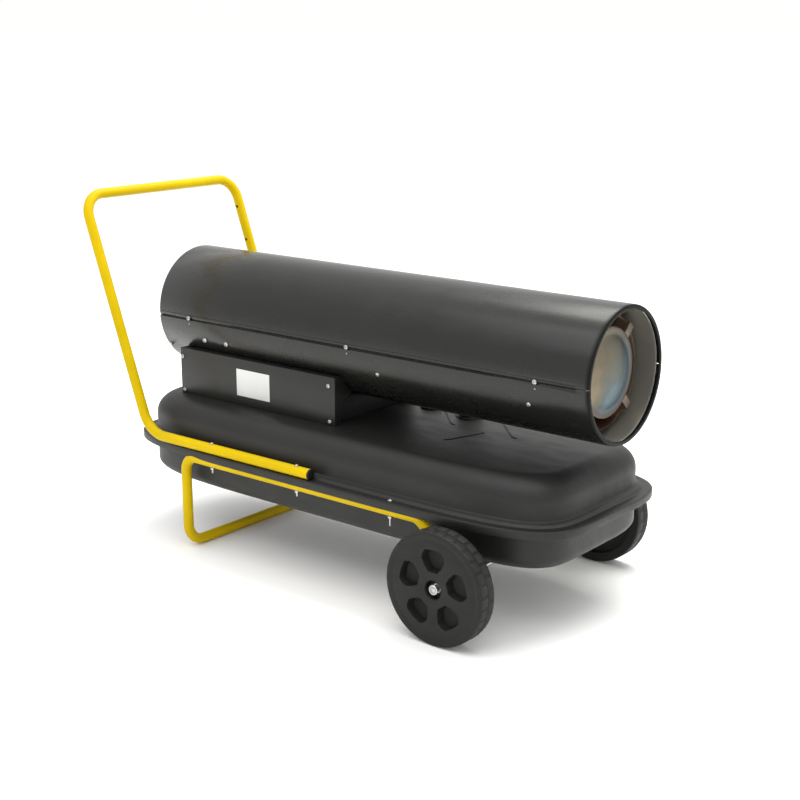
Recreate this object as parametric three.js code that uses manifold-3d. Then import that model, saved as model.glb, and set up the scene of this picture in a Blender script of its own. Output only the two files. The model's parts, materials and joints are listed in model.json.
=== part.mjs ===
// Diesel air heater of the cannon type, on two wheels and a bent tube leg, in millimetres.
// The hot air blows along +X, the controls are on the +Y side and +Z is up.
// Places along X are measured from the wheel axle. The last group moves the whole heater so that
// its origin is on the floor, under the middle of its own box.
import * as THREE from "three";
import { mergeVertices } from "three/addons/utils/BufferGeometryUtils.js";
import Module from "manifold-3d";

const wasm = await Module();
wasm.setup();

// Clearances
const seatGap = 0.3;
const cutOverrun = 3;
const weldDistance = 0.001;

// Numbers of sides and steps
const tubeSides = 12;
const bendSteps = 3;
const outlineSteps = 44;
const shoulderSteps = 3;
const halfShellSteps = 22;
const rollSteps = 2;
const wheelSides = 32;
const bigRoundSides = 32;
const roundSides = 16;
const smallSides = 8;
const hexSides = 6;
const wireSides = 4;

// The two-wheel running gear
const wheel = {
  radius: 100,
  width: 37.6,
  shoulder: 5,
  hubRadius: 16,
  hubReach: 16.8,
  recessRadius: 16.5,
  recessDepth: 14,
  backRimRadius: 82,
  backDepth: 9,
  pocketCount: 5,
  pocketDepth: 22,
  pocketInner: 33,
  pocketWaist: 53,
  pocketOuter: 68,
  pocketInnerWidth: 20,
  pocketWaistWidth: 45,
  pocketOuterWidth: 32,
};
const axle = { radius: 6, endInset: 2, washerRadius: 12, washerThickness: 1.6 };
const cotterPin = { radius: 1.2, reach: 9, eyeRadius: 2.4 };

// The fuel tank, pressed in two halves that meet at a rim
const tank = {
  length: 980,
  width: 372,
  cornerPower: 5,
  middleX: -334.5,
  floorClearance: 112,
  lowerDepth: 91,
  upperHeight: 81,
  sheet: 1.5,
  shoulderRun: 40,
  shoulderRise: 42,
  bellyRun: 80,
  bellyRise: 36,
  footFillet: 4,
  rimWidth: 29,
  rimThickness: 2.5,
  lipWidth: 6,
  lipHeight: 1.5,
  lipSlope: 2,
};

// The yellow tubes: the handle over the rim and the leg under it
const tube = { radius: 10, wall: 1.5, rimInset: 10 };
const handle = {
  lowerFrontX: -327,
  cornerX: -759,
  topX: -923.7,
  topHeight: 673.7,
  baseBend: 60,
  topBend: 45,
};
const leg = {
  x: -656,
  frontBendX: -78,
  kneeBend: 30,
  footBend: 38,
  frontBend: 34,
  endRun: 14,
};
const endPlug = { flangeThickness: 3, spigotLength: 14 };
const bolt = {
  radius: 3,
  headRadius: 5.8,
  headHeight: 4,
  washerRadius: 7,
  washerThickness: 1.2,
  tail: 14,
  rearX: -582,
  middleX: -362,
  frontX: -142.7,
};

// The round shell, split along its middle, with a rolled mouth
const shell = {
  radius: 119,
  sheet: 1.2,
  liftOverTank: 39,
  rearX: -811,
  lap: 4,
  tongueHeight: 7,
  tongueRoot: 13,
  tongueInset: 30,
  rollDepth: 10,
  mouthRadius: 110.4,
  mouthFlat: 3,
};
const mouthLiner = { sheet: 1, length: 91, frontInset: 12 };

// The combustion chamber and the flame disc in front of it
const chamber = {
  radius: 98.7,
  sheet: 1.2,
  length: 671.6,
  motorRoom: 93,
  frontInset: 41.4,
  standOffWidth: 30,
  standOffThickness: 3,
  frontStandOffInset: 118.5,
  rearStandOffInset: 442,
};
const standOffAngles = [-Math.PI / 8, (-7 * Math.PI) / 8, -Math.PI / 2];
const flameDisc = {
  radius: 77.5,
  domeRadius: 65.5,
  domeHeight: 13,
  domeMidRadius: 32.75,
  domeMidHeight: 9.75,
  sheet: 1.5,
  lead: 5.4,
  tabCount: 4,
  tabWidth: 15,
  tabHook: 14,
};
const chamberHead = { sheet: 1.5, skirt: 12, inset: 1, portDistance: 52 };
const burnerHead = { radius: 30, length: 38, flangeRadius: 40, flangeThickness: 3, rearInset: 20 };
const sprayNozzle = { radius: 8, length: 34, tipRadius: 3, tipLength: 6 };
const igniter = {
  radius: 6,
  length: 44,
  flangeRadius: 11,
  flangeThickness: 2.5,
  wireRadius: 1.2,
  wireBore: 0.6,
  wireBend: 2.4,
  sparkDistance: 17,
};
const photocell = { radius: 6, length: 38, flangeRadius: 10, flangeThickness: 2.5 };

// The motor, its fan and the air pump behind it, all on the axis of the shell
const motor = { radius: 60, length: 122, rearInset: 76, bossRadius: 18, bossLength: 6 };
const motorBracket = { sheet: 2, length: 92, rise: 20, frontInset: 12 };
const shaft = { radius: 6, rearReach: 26, frontReach: 52 };
const fan = {
  tipRadius: 104,
  hubRadius: 24,
  hubLength: 30,
  bladeCount: 5,
  bladeSheet: 1.6,
  rootChord: 36,
  tipChord: 62,
  rootPitch: Math.PI / 4,
  tipPitch: Math.PI / 8,
  hubStandOff: 12,
  bladeRows: 4,
};
const airPump = {
  radius: 46,
  depth: 34,
  cavityRadius: 30,
  cavityDepth: 24,
  rotorRadius: 26,
  rotorLength: 21,
  coverRadius: 48,
  coverDepth: 16,
  coverRimStep: 6,
};
const pressureGauge = { radius: 17, depth: 9, rise: 24, bezel: 1.5, faceDepth: 2.5 };
const gaugeNeedle = { tailLength: 5.5, tipLength: 11, width: 2, thickness: 0.8, pinRadius: 1 };
const guard = { wireRadius: 2, inset: 5, ringCount: 4, innerRadius: 36, spokeCount: 4 };

// The housing between tank and shell, with a cover on each side
const housing = {
  rearX: -755,
  frontX: -345,
  height: 92,
  sheet: 1.5,
  sideInset: 1,
  wallInset: 16,
  flangeWidth: 13,
  endFoot: 14,
  endNotchHeight: 47,
  endNotchDepth: 24,
  endTipHeight: 57,
  endTipDepth: 47,
};
const ratingPlate = { length: 92, height: 51, thickness: 0.8, rearX: -599, footHeight: 21 };
const transformer = {
  length: 95,
  width: 46,
  height: 42,
  middleX: -600,
  sideGap: 4,
  terminalRadius: 5,
  terminalHeight: 6,
  terminalSpread: 23.75,
};
const controlBoard = {
  length: 84,
  height: 56,
  thickness: 1.6,
  middleX: -600,
  foot: 10,
  postRadius: 2.5,
  postLength: 7,
  postInset: 6,
  chipLength: 34,
  chipHeight: 22,
  chipDepth: 12,
};
const thermostat = {
  x: -430,
  height: 46,
  knobRadius: 16,
  knobDepth: 15,
  skirtRadius: 19,
  skirtDepth: 4,
  shaftRadius: 3,
  ribWidth: 5,
  ribHeight: 3,
  bodyWidth: 28,
  bodyDepth: 14,
};
const powerSwitch = {
  x: -500,
  height: 46,
  length: 27,
  width: 12,
  bezel: 3,
  bezelThickness: 1.6,
  depth: 22,
  wall: 1.5,
  wellExtraDepth: 6,
  pinRadius: 1.2,
  rockerDepth: 9,
  rockerTaper: 2.25,
  rockerDish: 1.5,
  rockerPlay: 1.2,
  offAngle: Math.PI / 18,
};
const cordGland = {
  x: -715,
  height: 40,
  radius: 8,
  boreRadius: 4.5,
  flangeRadius: 13,
  flangeThickness: 5,
  noseLength: 12,
  noseRadius: 9,
  tail: 10,
};

// Fuel fittings on the tank
const filler = {
  x: -200,
  y: 105,
  boreRadius: 18.5,
  wall: 2,
  rise: 26,
  drop: 12,
  flangeRadius: 29,
  flangeThickness: 2,
};
const strainer = { sheet: 1, depth: 70, rimWidth: 3, slope: 3 };
const fuelCap = { wall: 3, depth: 20, gripCount: 6, gripWidth: 9, gripDepth: 2.5, topThickness: 4 };
const fuelGauge = {
  x: -290,
  y: 105,
  stemRadius: 11,
  stemDrop: 40,
  flangeRadius: 24,
  flangeThickness: 3,
  bezelRadius: 20,
  bezelHeight: 12,
  faceRadius: 17,
  faceDepth: 4,
  forkWidth: 4,
  forkHeight: 26,
};
const gaugeFloat = {
  armLength: 108,
  armWidth: 6,
  armThickness: 3,
  pinRadius: 1.5,
  pinLength: 18,
  floatRadius: 13,
  floatLength: 34,
  hubRadius: 6,
};
const pickup = {
  x: -530,
  radius: 4,
  filterRadius: 9,
  filterLength: 22,
  bottomGap: 12,
  flangeRadius: 15,
  flangeThickness: 3,
  nippleRise: 8,
};
const drainPlug = {
  rearInset: 124.5,
  radius: 7,
  length: 9,
  flangeRadius: 12,
  flangeThickness: 2.5,
  hexRadius: 9,
  hexHeight: 6,
};
const fuelLine = { radius: 3, bore: 1.6 };
const airLine = { radius: 3, bore: 1.6, y: 16, bend: 14, fanClearance: 8.5 };

// Heights and places that several pieces share
const seamZ = tank.floorClearance + tank.lowerDepth;
const tankTopZ = seamZ + tank.upperHeight;
const rimUnderZ = seamZ - tank.rimThickness;
const rimFlatZ = seamZ + seatGap + tank.rimThickness;
const rimTopZ = rimFlatZ + tank.lipHeight;
const tubeFlat = tube.radius * Math.cos(Math.PI / tubeSides);
const tubeY = tank.width / 2 + tank.rimWidth - tube.rimInset;
const handleZ = rimTopZ + seatGap + tubeFlat;
const legZ = rimUnderZ - seatGap - tubeFlat;
const shellZ = tankTopZ + shell.liftOverTank + shell.radius;
const shellInner = shell.radius - shell.sheet;
const lapAngle = Math.asin(shell.lap / shell.radius);
const shellInnerFlat = shellInner * Math.cos((Math.PI / 2 + lapAngle) / halfShellSteps);
const shellSeatRadius = shellInnerFlat - seatGap;
const wheelInnerY = tubeY + tube.radius + seatGap + wheel.hubReach;
const wheelOuterY = wheelInnerY + wheel.width;
const motorRearX = shell.rearX + motor.rearInset;
const motorFrontX = motorRearX + motor.length;
const chamberRearX = motorFrontX + chamber.motorRoom;
const chamberFrontX = chamberRearX + chamber.length;
const shellFrontX = chamberFrontX + chamber.frontInset;
const drainPlugX = tank.middleX - tank.length / 2 + drainPlug.rearInset;
const pumpFrontX = motorRearX - seatGap;
const pumpRearX = pumpFrontX - airPump.depth;
const coverFrontX = pumpRearX - seatGap;
const coverRearX = coverFrontX - airPump.coverDepth;
const housingHalfWidth = shell.radius - housing.sideInset;
const housingFloorZ = tankTopZ + seatGap;
const housingTopZ = tankTopZ + housing.height;
const coverInnerY = housingHalfWidth - housing.sheet;

const unitX = new THREE.Vector3(1, 0, 0);
const unitY = new THREE.Vector3(0, 1, 0);
const unitZ = new THREE.Vector3(0, 0, 1);

// Solids from three.js geometry, joined and cut by manifold-3d
function solid(geometry) {
  const bare = geometry.clone();
  bare.deleteAttribute("normal");
  bare.deleteAttribute("uv");
  const merged = mergeVertices(bare, weldDistance);
  const vertProperties = merged.getAttribute("position").array;
  const triVerts = new Uint32Array(merged.index.array);
  return new wasm.Manifold(new wasm.Mesh({ numProp: 3, vertProperties, triVerts }));
}

function surface(body) {
  const mesh = body.getMesh();
  const geometry = new THREE.BufferGeometry();
  geometry.setAttribute("position", new THREE.BufferAttribute(mesh.vertProperties, mesh.numProp));
  geometry.setIndex(new THREE.BufferAttribute(mesh.triVerts, 1));
  geometry.computeVertexNormals();
  return geometry;
}

function join(...geometries) {
  return surface(geometries.map(solid).reduce((whole, piece) => whole.add(piece)));
}

function cut(geometry, ...tools) {
  return surface(tools.map(solid).reduce((rest, tool) => rest.subtract(tool), solid(geometry)));
}

function trianglesOf(points, faces) {
  const geometry = new THREE.BufferGeometry();
  geometry.setAttribute(
    "position",
    new THREE.Float32BufferAttribute(points.flatMap((p) => [p.x, p.y, p.z]), 3),
  );
  geometry.setIndex(faces.flat());
  return geometry;
}

// A box between two corners
function block(low, high) {
  const size = new THREE.Vector3(...high).sub(new THREE.Vector3(...low));
  const middle = new THREE.Vector3(...low).addScaledVector(size, 1 / 2);
  return new THREE.BoxGeometry(size.x, size.y, size.z).translate(middle.x, middle.y, middle.z);
}

// A round bar between two points
function rod(radius, from, to, sideCount = smallSides) {
  const start = new THREE.Vector3(...from);
  const run = new THREE.Vector3(...to).sub(start);
  const turn = new THREE.Quaternion().setFromUnitVectors(unitY, run.clone().normalize());
  return new THREE.CylinderGeometry(radius, radius, run.length(), sideCount)
    .translate(0, run.length() / 2, 0)
    .applyQuaternion(turn)
    .translate(start.x, start.y, start.z);
}

// A ring or disc turned about an axis: the profile lists [radius, distance along the axis]
// anticlockwise, and closes on itself or on the axis
function turned(profile, axis, place, sideCount = roundSides) {
  const points = profile.map(([radius, along]) => new THREE.Vector2(radius, along));
  const touchesAxis = profile[0][0] === 0;
  if (!touchesAxis) points.push(points[0].clone());
  const turn = new THREE.Quaternion().setFromUnitVectors(unitY, axis);
  return new THREE.LatheGeometry(points, sideCount).applyQuaternion(turn).translate(...place);
}

function disc(radius, thickness, axis, place, sideCount = roundSides) {
  return turned([[0, 0], [radius, 0], [radius, thickness], [0, thickness]], axis, place, sideCount);
}

function ring(inner, outer, thickness, axis, place, sideCount = roundSides) {
  const profile = [[inner, 0], [outer, 0], [outer, thickness], [inner, thickness]];
  return turned(profile, axis, place, sideCount);
}

// A flat plate: its outline in the plane across X, pushed along +X
function plateAcrossX(outline, fromX, thickness) {
  const shape = new THREE.Shape(outline.map(([y, z]) => new THREE.Vector2(y, z)));
  const plate = new THREE.ExtrudeGeometry(shape, { depth: thickness, bevelEnabled: false });
  const turn = new THREE.Matrix4().makeBasis(unitY, unitZ, unitX);
  return plate.applyMatrix4(turn).translate(fromX, 0, 0);
}

// A sheet between two equal grids of points, closed along its four edges
function sheetBetween(outer, inner) {
  const rows = outer.length;
  const columns = outer[0].length;
  const points = [...outer.flat(), ...inner.flat()];
  const out = (i, j) => i * columns + j;
  const inn = (i, j) => rows * columns + i * columns + j;
  const faces = [];
  const quad = (a, b, c, d) => faces.push([a, b, c], [a, c, d]);
  for (let i = 0; i + 1 < rows; i++) {
    for (let j = 0; j + 1 < columns; j++) {
      quad(out(i, j), out(i + 1, j), out(i + 1, j + 1), out(i, j + 1));
      quad(inn(i, j), inn(i, j + 1), inn(i + 1, j + 1), inn(i + 1, j));
    }
    quad(out(i, 0), inn(i, 0), inn(i + 1, 0), out(i + 1, 0));
    quad(out(i, columns - 1), out(i + 1, columns - 1), inn(i + 1, columns - 1), inn(i, columns - 1));
  }
  for (let j = 0; j + 1 < columns; j++) {
    quad(out(0, j), out(0, j + 1), inn(0, j + 1), inn(0, j));
    quad(out(rows - 1, j), inn(rows - 1, j), inn(rows - 1, j + 1), out(rows - 1, j + 1));
  }
  return trianglesOf(points, faces);
}

// A path of straight runs and round bends that holds one station at each end of a run and a few
// in each bend
class BentPath extends THREE.Curve {
  constructor(corners, bendRadii) {
    super();
    const points = corners.map((corner) => new THREE.Vector3(...corner));
    this.stations = [{ point: points[0], tangent: points[1].clone().sub(points[0]).normalize() }];
    for (let i = 1; i + 1 < points.length; i++) {
      this.addBend(points[i - 1], points[i], points[i + 1], bendRadii[i - 1]);
    }
    const end = points.at(-1);
    this.stations.push({ point: end, tangent: end.clone().sub(points.at(-2)).normalize() });
  }

  addBend(before, corner, after, radius) {
    const inward = corner.clone().sub(before).normalize();
    const outward = after.clone().sub(corner).normalize();
    const angle = inward.angleTo(outward);
    const side = outward.clone().addScaledVector(inward, -outward.dot(inward)).normalize();
    const start = corner.clone().addScaledVector(inward, -radius * Math.tan(angle / 2));
    for (let step = 0; step <= bendSteps; step++) {
      const turn = (angle * step) / bendSteps;
      const point = start.clone().addScaledVector(inward, radius * Math.sin(turn));
      point.addScaledVector(side, radius * (1 - Math.cos(turn)));
      const tangent = inward.clone().multiplyScalar(Math.cos(turn));
      tangent.addScaledVector(side, Math.sin(turn));
      this.stations.push({ point, tangent });
    }
  }

  stationAt(share) {
    return this.stations[Math.round(share * (this.stations.length - 1))];
  }

  getPointAt(share, target = new THREE.Vector3()) {
    return target.copy(this.stationAt(share).point);
  }

  getTangentAt(share, target = new THREE.Vector3()) {
    return target.copy(this.stationAt(share).tangent);
  }
}

// A hollow tube along a bent path, with a flat of its section turned down
function bentTube(corners, bendRadii, radius, boreRadius, sideCount = tubeSides) {
  const path = new BentPath(corners, bendRadii);
  const startAngle = Math.PI / sideCount;
  const section = new THREE.Shape();
  section.absarc(0, 0, radius, startAngle, startAngle + 2 * Math.PI);
  const bore = new THREE.Path();
  bore.absarc(0, 0, boreRadius, startAngle, startAngle + 2 * Math.PI);
  section.holes.push(bore);
  const settings = {
    steps: path.stations.length - 1,
    curveSegments: sideCount / 2,
    extrudePath: path,
    bevelEnabled: false,
  };
  return new THREE.ExtrudeGeometry(section, settings);
}

// Painted, plated and moulded finishes
const finishes = {
  blackPaint: { color: 0x3b3c3b, roughness: 0.45, metalness: 0.1 },
  yellowPaint: { color: 0xf0c800, roughness: 0.35, metalness: 0.05 },
  zinc: { color: 0xb9bbb8, roughness: 0.35, metalness: 0.9 },
  wheelPlastic: { color: 0x363734, roughness: 0.7, metalness: 0 },
  blackPlastic: { color: 0x1e1f20, roughness: 0.5, metalness: 0 },
  linerSteel: { color: 0x8d8b84, roughness: 0.5, metalness: 0.7 },
  heatedSteel: { color: 0x9c8a78, roughness: 0.35, metalness: 0.9 },
  stainless: { color: 0xa8a7a2, roughness: 0.35, metalness: 0.9 },
  aluminium: { color: 0xb5b7b8, roughness: 0.4, metalness: 0.9 },
  brass: { color: 0xb8963e, roughness: 0.35, metalness: 0.9 },
  copper: { color: 0xb06a42, roughness: 0.35, metalness: 0.9 },
  whitePlate: { color: 0xf2f2f0, roughness: 0.4, metalness: 0 },
  ceramic: { color: 0xe8e4d8, roughness: 0.4, metalness: 0 },
  boardGreen: { color: 0x2f6b3c, roughness: 0.5, metalness: 0 },
  redPlastic: { color: 0xb3261e, roughness: 0.35, metalness: 0 },
};

const heater = new THREE.Group();

function addPiece(name, geometry, finish) {
  const mesh = new THREE.Mesh(geometry, new THREE.MeshStandardMaterial(finish));
  mesh.name = name;
  heater.add(mesh);
  return mesh;
}

const sides = [
  { name: "right", sign: -1 },
  { name: "left", sign: 1 },
];

// The outline of the tank, drawn in by an inset
function tankOutline(inset) {
  const power = 2 / tank.cornerPower;
  const points = [];
  for (let step = 0; step < outlineSteps; step++) {
    const turn = (2 * Math.PI * step) / outlineSteps;
    const along = Math.sign(Math.cos(turn)) * Math.abs(Math.cos(turn)) ** power;
    const across = Math.sign(Math.sin(turn)) * Math.abs(Math.sin(turn)) ** power;
    points.push([tank.middleX + (tank.length / 2 - inset) * along, (tank.width / 2 - inset) * across]);
  }
  return points;
}

// One half of the tank: rings of [inset, height] that start round the middle of its upper face,
// go out to the rim and come back round the middle of its lower face
function tankHalf(rings) {
  const points = [new THREE.Vector3(tank.middleX, 0, rings[0][1])];
  const faces = [];
  rings.forEach(([inset, height]) => {
    tankOutline(inset).forEach(([x, y]) => points.push(new THREE.Vector3(x, y, height)));
  });
  points.push(new THREE.Vector3(tank.middleX, 0, rings.at(-1)[1]));
  const at = (row, step) => 1 + row * outlineSteps + (step % outlineSteps);
  const last = rings.length - 1;
  for (let step = 0; step < outlineSteps; step++) {
    faces.push([0, at(0, step), at(0, step + 1)]);
    for (let row = 0; row < last; row++) {
      faces.push([at(row, step), at(row + 1, step), at(row + 1, step + 1)]);
      faces.push([at(row, step), at(row + 1, step + 1), at(row, step + 1)]);
    }
    faces.push([points.length - 1, at(last, step + 1), at(last, step)]);
  }
  return trianglesOf(points, faces);
}

// The rounding between a flat panel and the wall, from the panel to the wall
function shoulder(run, rise, panelZ, towards, sheet) {
  const rings = [];
  for (let step = 0; step <= shoulderSteps; step++) {
    const turn = (Math.PI / 2) * (step / shoulderSteps);
    const inset = run - (run - sheet) * Math.sin(turn);
    const height = panelZ + towards * (sheet + (rise - sheet) * (1 - Math.cos(turn)));
    rings.push([inset, height]);
  }
  return rings;
}

function tankUpperRings() {
  const outside = shoulder(tank.shoulderRun, tank.shoulderRise, tankTopZ, -1, 0);
  const inside = shoulder(tank.shoulderRun, tank.shoulderRise, tankTopZ, -1, tank.sheet);
  const lipOuter = -tank.rimWidth;
  const lipInner = lipOuter + tank.lipWidth;
  const rim = [
    [0, rimFlatZ + tank.footFillet],
    [-tank.footFillet, rimFlatZ],
    [lipInner, rimFlatZ],
    [lipInner - tank.lipSlope, rimTopZ],
    [lipOuter + tank.lipSlope, rimTopZ],
    [lipOuter, rimFlatZ],
    [lipOuter, seamZ + seatGap],
    [tank.sheet, seamZ + seatGap],
  ];
  return [...outside, ...rim, ...inside.reverse()];
}

function tankLowerRings() {
  const bottomZ = tank.floorClearance;
  const inside = shoulder(tank.bellyRun, tank.bellyRise, bottomZ, 1, tank.sheet);
  const outside = shoulder(tank.bellyRun, tank.bellyRise, bottomZ, 1, 0);
  const rim = [
    [tank.sheet, seamZ],
    [-tank.rimWidth, seamZ],
    [-tank.rimWidth, rimUnderZ],
    [-tank.footFillet, rimUnderZ],
    [0, rimUnderZ - tank.footFillet],
  ];
  return [...inside, ...rim, ...outside.reverse()];
}

// Holes for the frame bolts, through whatever lies between two heights
function boltHoles(places, lowZ, highZ) {
  return places.flatMap((x) =>
    sides.map(({ sign }) =>
      rod(bolt.radius + seatGap, [x, sign * tubeY, lowZ], [x, sign * tubeY, highZ], smallSides),
    ),
  );
}

const allBoltPlaces = [bolt.rearX, bolt.middleX, bolt.frontX];
const handleBoltPlaces = [bolt.rearX, bolt.middleX];

function addTank() {
  const insideZ = tankTopZ - tank.sheet - cutOverrun;
  const roofHole = (x, y, radius) =>
    rod(radius + seatGap, [x, y, insideZ], [x, y, tankTopZ + cutOverrun], bigRoundSides);
  const upper = cut(
    tankHalf(tankUpperRings()),
    ...boltHoles(allBoltPlaces, seamZ - cutOverrun, rimTopZ + cutOverrun),
    roofHole(filler.x, filler.y, filler.boreRadius + filler.wall),
    roofHole(fuelGauge.x, fuelGauge.y, fuelGauge.stemRadius),
    roofHole(pickup.x, 0, pickup.filterRadius),
  );
  const floorZ = tank.floorClearance;
  const drainHole = rod(
    drainPlug.radius + seatGap,
    [drainPlugX, 0, floorZ - cutOverrun],
    [drainPlugX, 0, floorZ + tank.sheet + cutOverrun],
  );
  const lower = cut(
    tankHalf(tankLowerRings()),
    ...boltHoles(allBoltPlaces, rimUnderZ - cutOverrun, seamZ + cutOverrun),
    drainHole,
  );
  addPiece("tank_upper", upper, finishes.blackPaint);
  addPiece("tank_lower", lower, finishes.blackPaint);
}

// The filler neck with its strainer and cap
function addFiller() {
  const outer = filler.boreRadius + filler.wall;
  const neckTopZ = tankTopZ + filler.rise;
  const place = (z) => [filler.x, filler.y, z];
  const neck = turned(
    [
      [filler.boreRadius, -filler.drop],
      [outer, -filler.drop],
      [outer, seatGap],
      [filler.flangeRadius, seatGap],
      [filler.flangeRadius, seatGap + filler.flangeThickness],
      [outer, seatGap + filler.flangeThickness],
      [outer, filler.rise],
      [filler.boreRadius, filler.rise],
    ],
    unitZ,
    place(tankTopZ),
    bigRoundSides,
  );
  addPiece("filler_neck", neck, finishes.zinc);

  const basketRadius = filler.boreRadius - seatGap;
  const rimRadius = basketRadius + strainer.rimWidth - filler.wall / 2;
  const basket = turned(
    [
      [0, -strainer.depth],
      [basketRadius - strainer.slope, -strainer.depth],
      [basketRadius, 0],
      [basketRadius, seatGap],
      [rimRadius, seatGap],
      [rimRadius, seatGap + strainer.sheet],
      [basketRadius - strainer.sheet, seatGap + strainer.sheet],
      [basketRadius - strainer.sheet, 0],
      [basketRadius - strainer.slope - strainer.sheet, -strainer.depth + strainer.sheet],
      [0, -strainer.depth + strainer.sheet],
    ],
    unitZ,
    place(neckTopZ),
    bigRoundSides,
  );
  addPiece("fuel_strainer", basket, finishes.stainless);

  const capBore = outer + seatGap;
  const capRadius = capBore + fuelCap.wall;
  const ceiling = 2 * seatGap + strainer.sheet;
  const capTop = ceiling + fuelCap.topThickness;
  const body = turned(
    [
      [0, ceiling],
      [capBore, ceiling],
      [capBore, ceiling - fuelCap.depth],
      [capRadius, ceiling - fuelCap.depth],
      [capRadius, capTop - fuelCap.topThickness / 2],
      [capRadius - fuelCap.topThickness / 2, capTop],
      [0, capTop],
    ],
    unitZ,
    place(neckTopZ),
    bigRoundSides,
  );
  const grips = Array.from({ length: fuelCap.gripCount }, (_, i) =>
    block(
      [capRadius - fuelCap.wall / 2, -fuelCap.gripWidth / 2, ceiling - fuelCap.depth],
      [capRadius + fuelCap.gripDepth, fuelCap.gripWidth / 2, ceiling],
    )
      .rotateZ((2 * Math.PI * i) / fuelCap.gripCount)
      .translate(...place(neckTopZ)),
  );
  addPiece("fuel_cap", join(body, ...grips), finishes.blackPlastic);
}

// The fuel gauge: its dial lies on top, and the float arm hangs from a fork inside the tank
function addFuelGauge() {
  const place = (z) => [fuelGauge.x, fuelGauge.y, z];
  const forkZ = tankTopZ - fuelGauge.stemDrop + gaugeFloat.hubRadius + seatGap;
  const faceZ = seatGap + fuelGauge.bezelHeight - fuelGauge.faceDepth;
  const body = turned(
    [
      [0, -fuelGauge.stemDrop],
      [fuelGauge.stemRadius, -fuelGauge.stemDrop],
      [fuelGauge.stemRadius, seatGap],
      [fuelGauge.flangeRadius, seatGap],
      [fuelGauge.flangeRadius, seatGap + fuelGauge.flangeThickness],
      [fuelGauge.bezelRadius, seatGap + fuelGauge.flangeThickness],
      [fuelGauge.bezelRadius, seatGap + fuelGauge.bezelHeight],
      [fuelGauge.faceRadius, seatGap + fuelGauge.bezelHeight],
      [fuelGauge.faceRadius, faceZ],
      [0, faceZ],
    ],
    unitZ,
    place(tankTopZ),
  );
  const forkHalf = fuelGauge.forkWidth / 2;
  const slot = block(
    [-fuelGauge.stemRadius - cutOverrun, -forkHalf, -fuelGauge.stemDrop - cutOverrun],
    [fuelGauge.stemRadius + cutOverrun, forkHalf, -fuelGauge.stemDrop + fuelGauge.forkHeight],
  ).translate(...place(tankTopZ));
  const pinHole = rod(
    gaugeFloat.pinRadius + seatGap,
    [fuelGauge.x, fuelGauge.y - fuelGauge.stemRadius - cutOverrun, forkZ],
    [fuelGauge.x, fuelGauge.y + fuelGauge.stemRadius + cutOverrun, forkZ],
  );
  const needleHole = rod(
    gaugeNeedle.pinRadius + seatGap,
    place(tankTopZ + faceZ - fuelGauge.faceDepth / 2),
    place(tankTopZ + faceZ + cutOverrun),
  );
  addPiece("fuel_gauge", cut(body, slot, pinHole, needleHole), finishes.blackPlastic);

  const halfPin = gaugeFloat.pinLength / 2;
  const halfArm = gaugeFloat.armThickness / 2;
  const halfWidth = gaugeFloat.armWidth / 2;
  const arm = join(
    rod(gaugeFloat.pinRadius, [0, -halfPin, 0], [0, halfPin, 0]),
    rod(gaugeFloat.hubRadius, [0, -halfArm, 0], [0, halfArm, 0]),
    block([-halfWidth, -halfArm, -gaugeFloat.armLength], [halfWidth, halfArm, 0]),
    rod(
      gaugeFloat.floatRadius,
      [0, -gaugeFloat.floatLength / 2, -gaugeFloat.armLength],
      [0, gaugeFloat.floatLength / 2, -gaugeFloat.armLength],
    ),
  );
  addPiece("gauge_float", arm, finishes.brass).position.set(fuelGauge.x, fuelGauge.y, forkZ);

  addPiece("gauge_pointer", needle(), finishes.redPlastic).position.set(
    ...place(tankTopZ + faceZ + seatGap),
  );
}

// A needle that lies on a dial, pointing along +X from its pin
function needle() {
  return join(
    block(
      [-gaugeNeedle.tailLength, -gaugeNeedle.width / 2, 0],
      [gaugeNeedle.tipLength, gaugeNeedle.width / 2, gaugeNeedle.thickness],
    ),
    rod(gaugeNeedle.pinRadius, [0, 0, -gaugeNeedle.pinRadius], [0, 0, gaugeNeedle.thickness]),
  );
}

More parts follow.
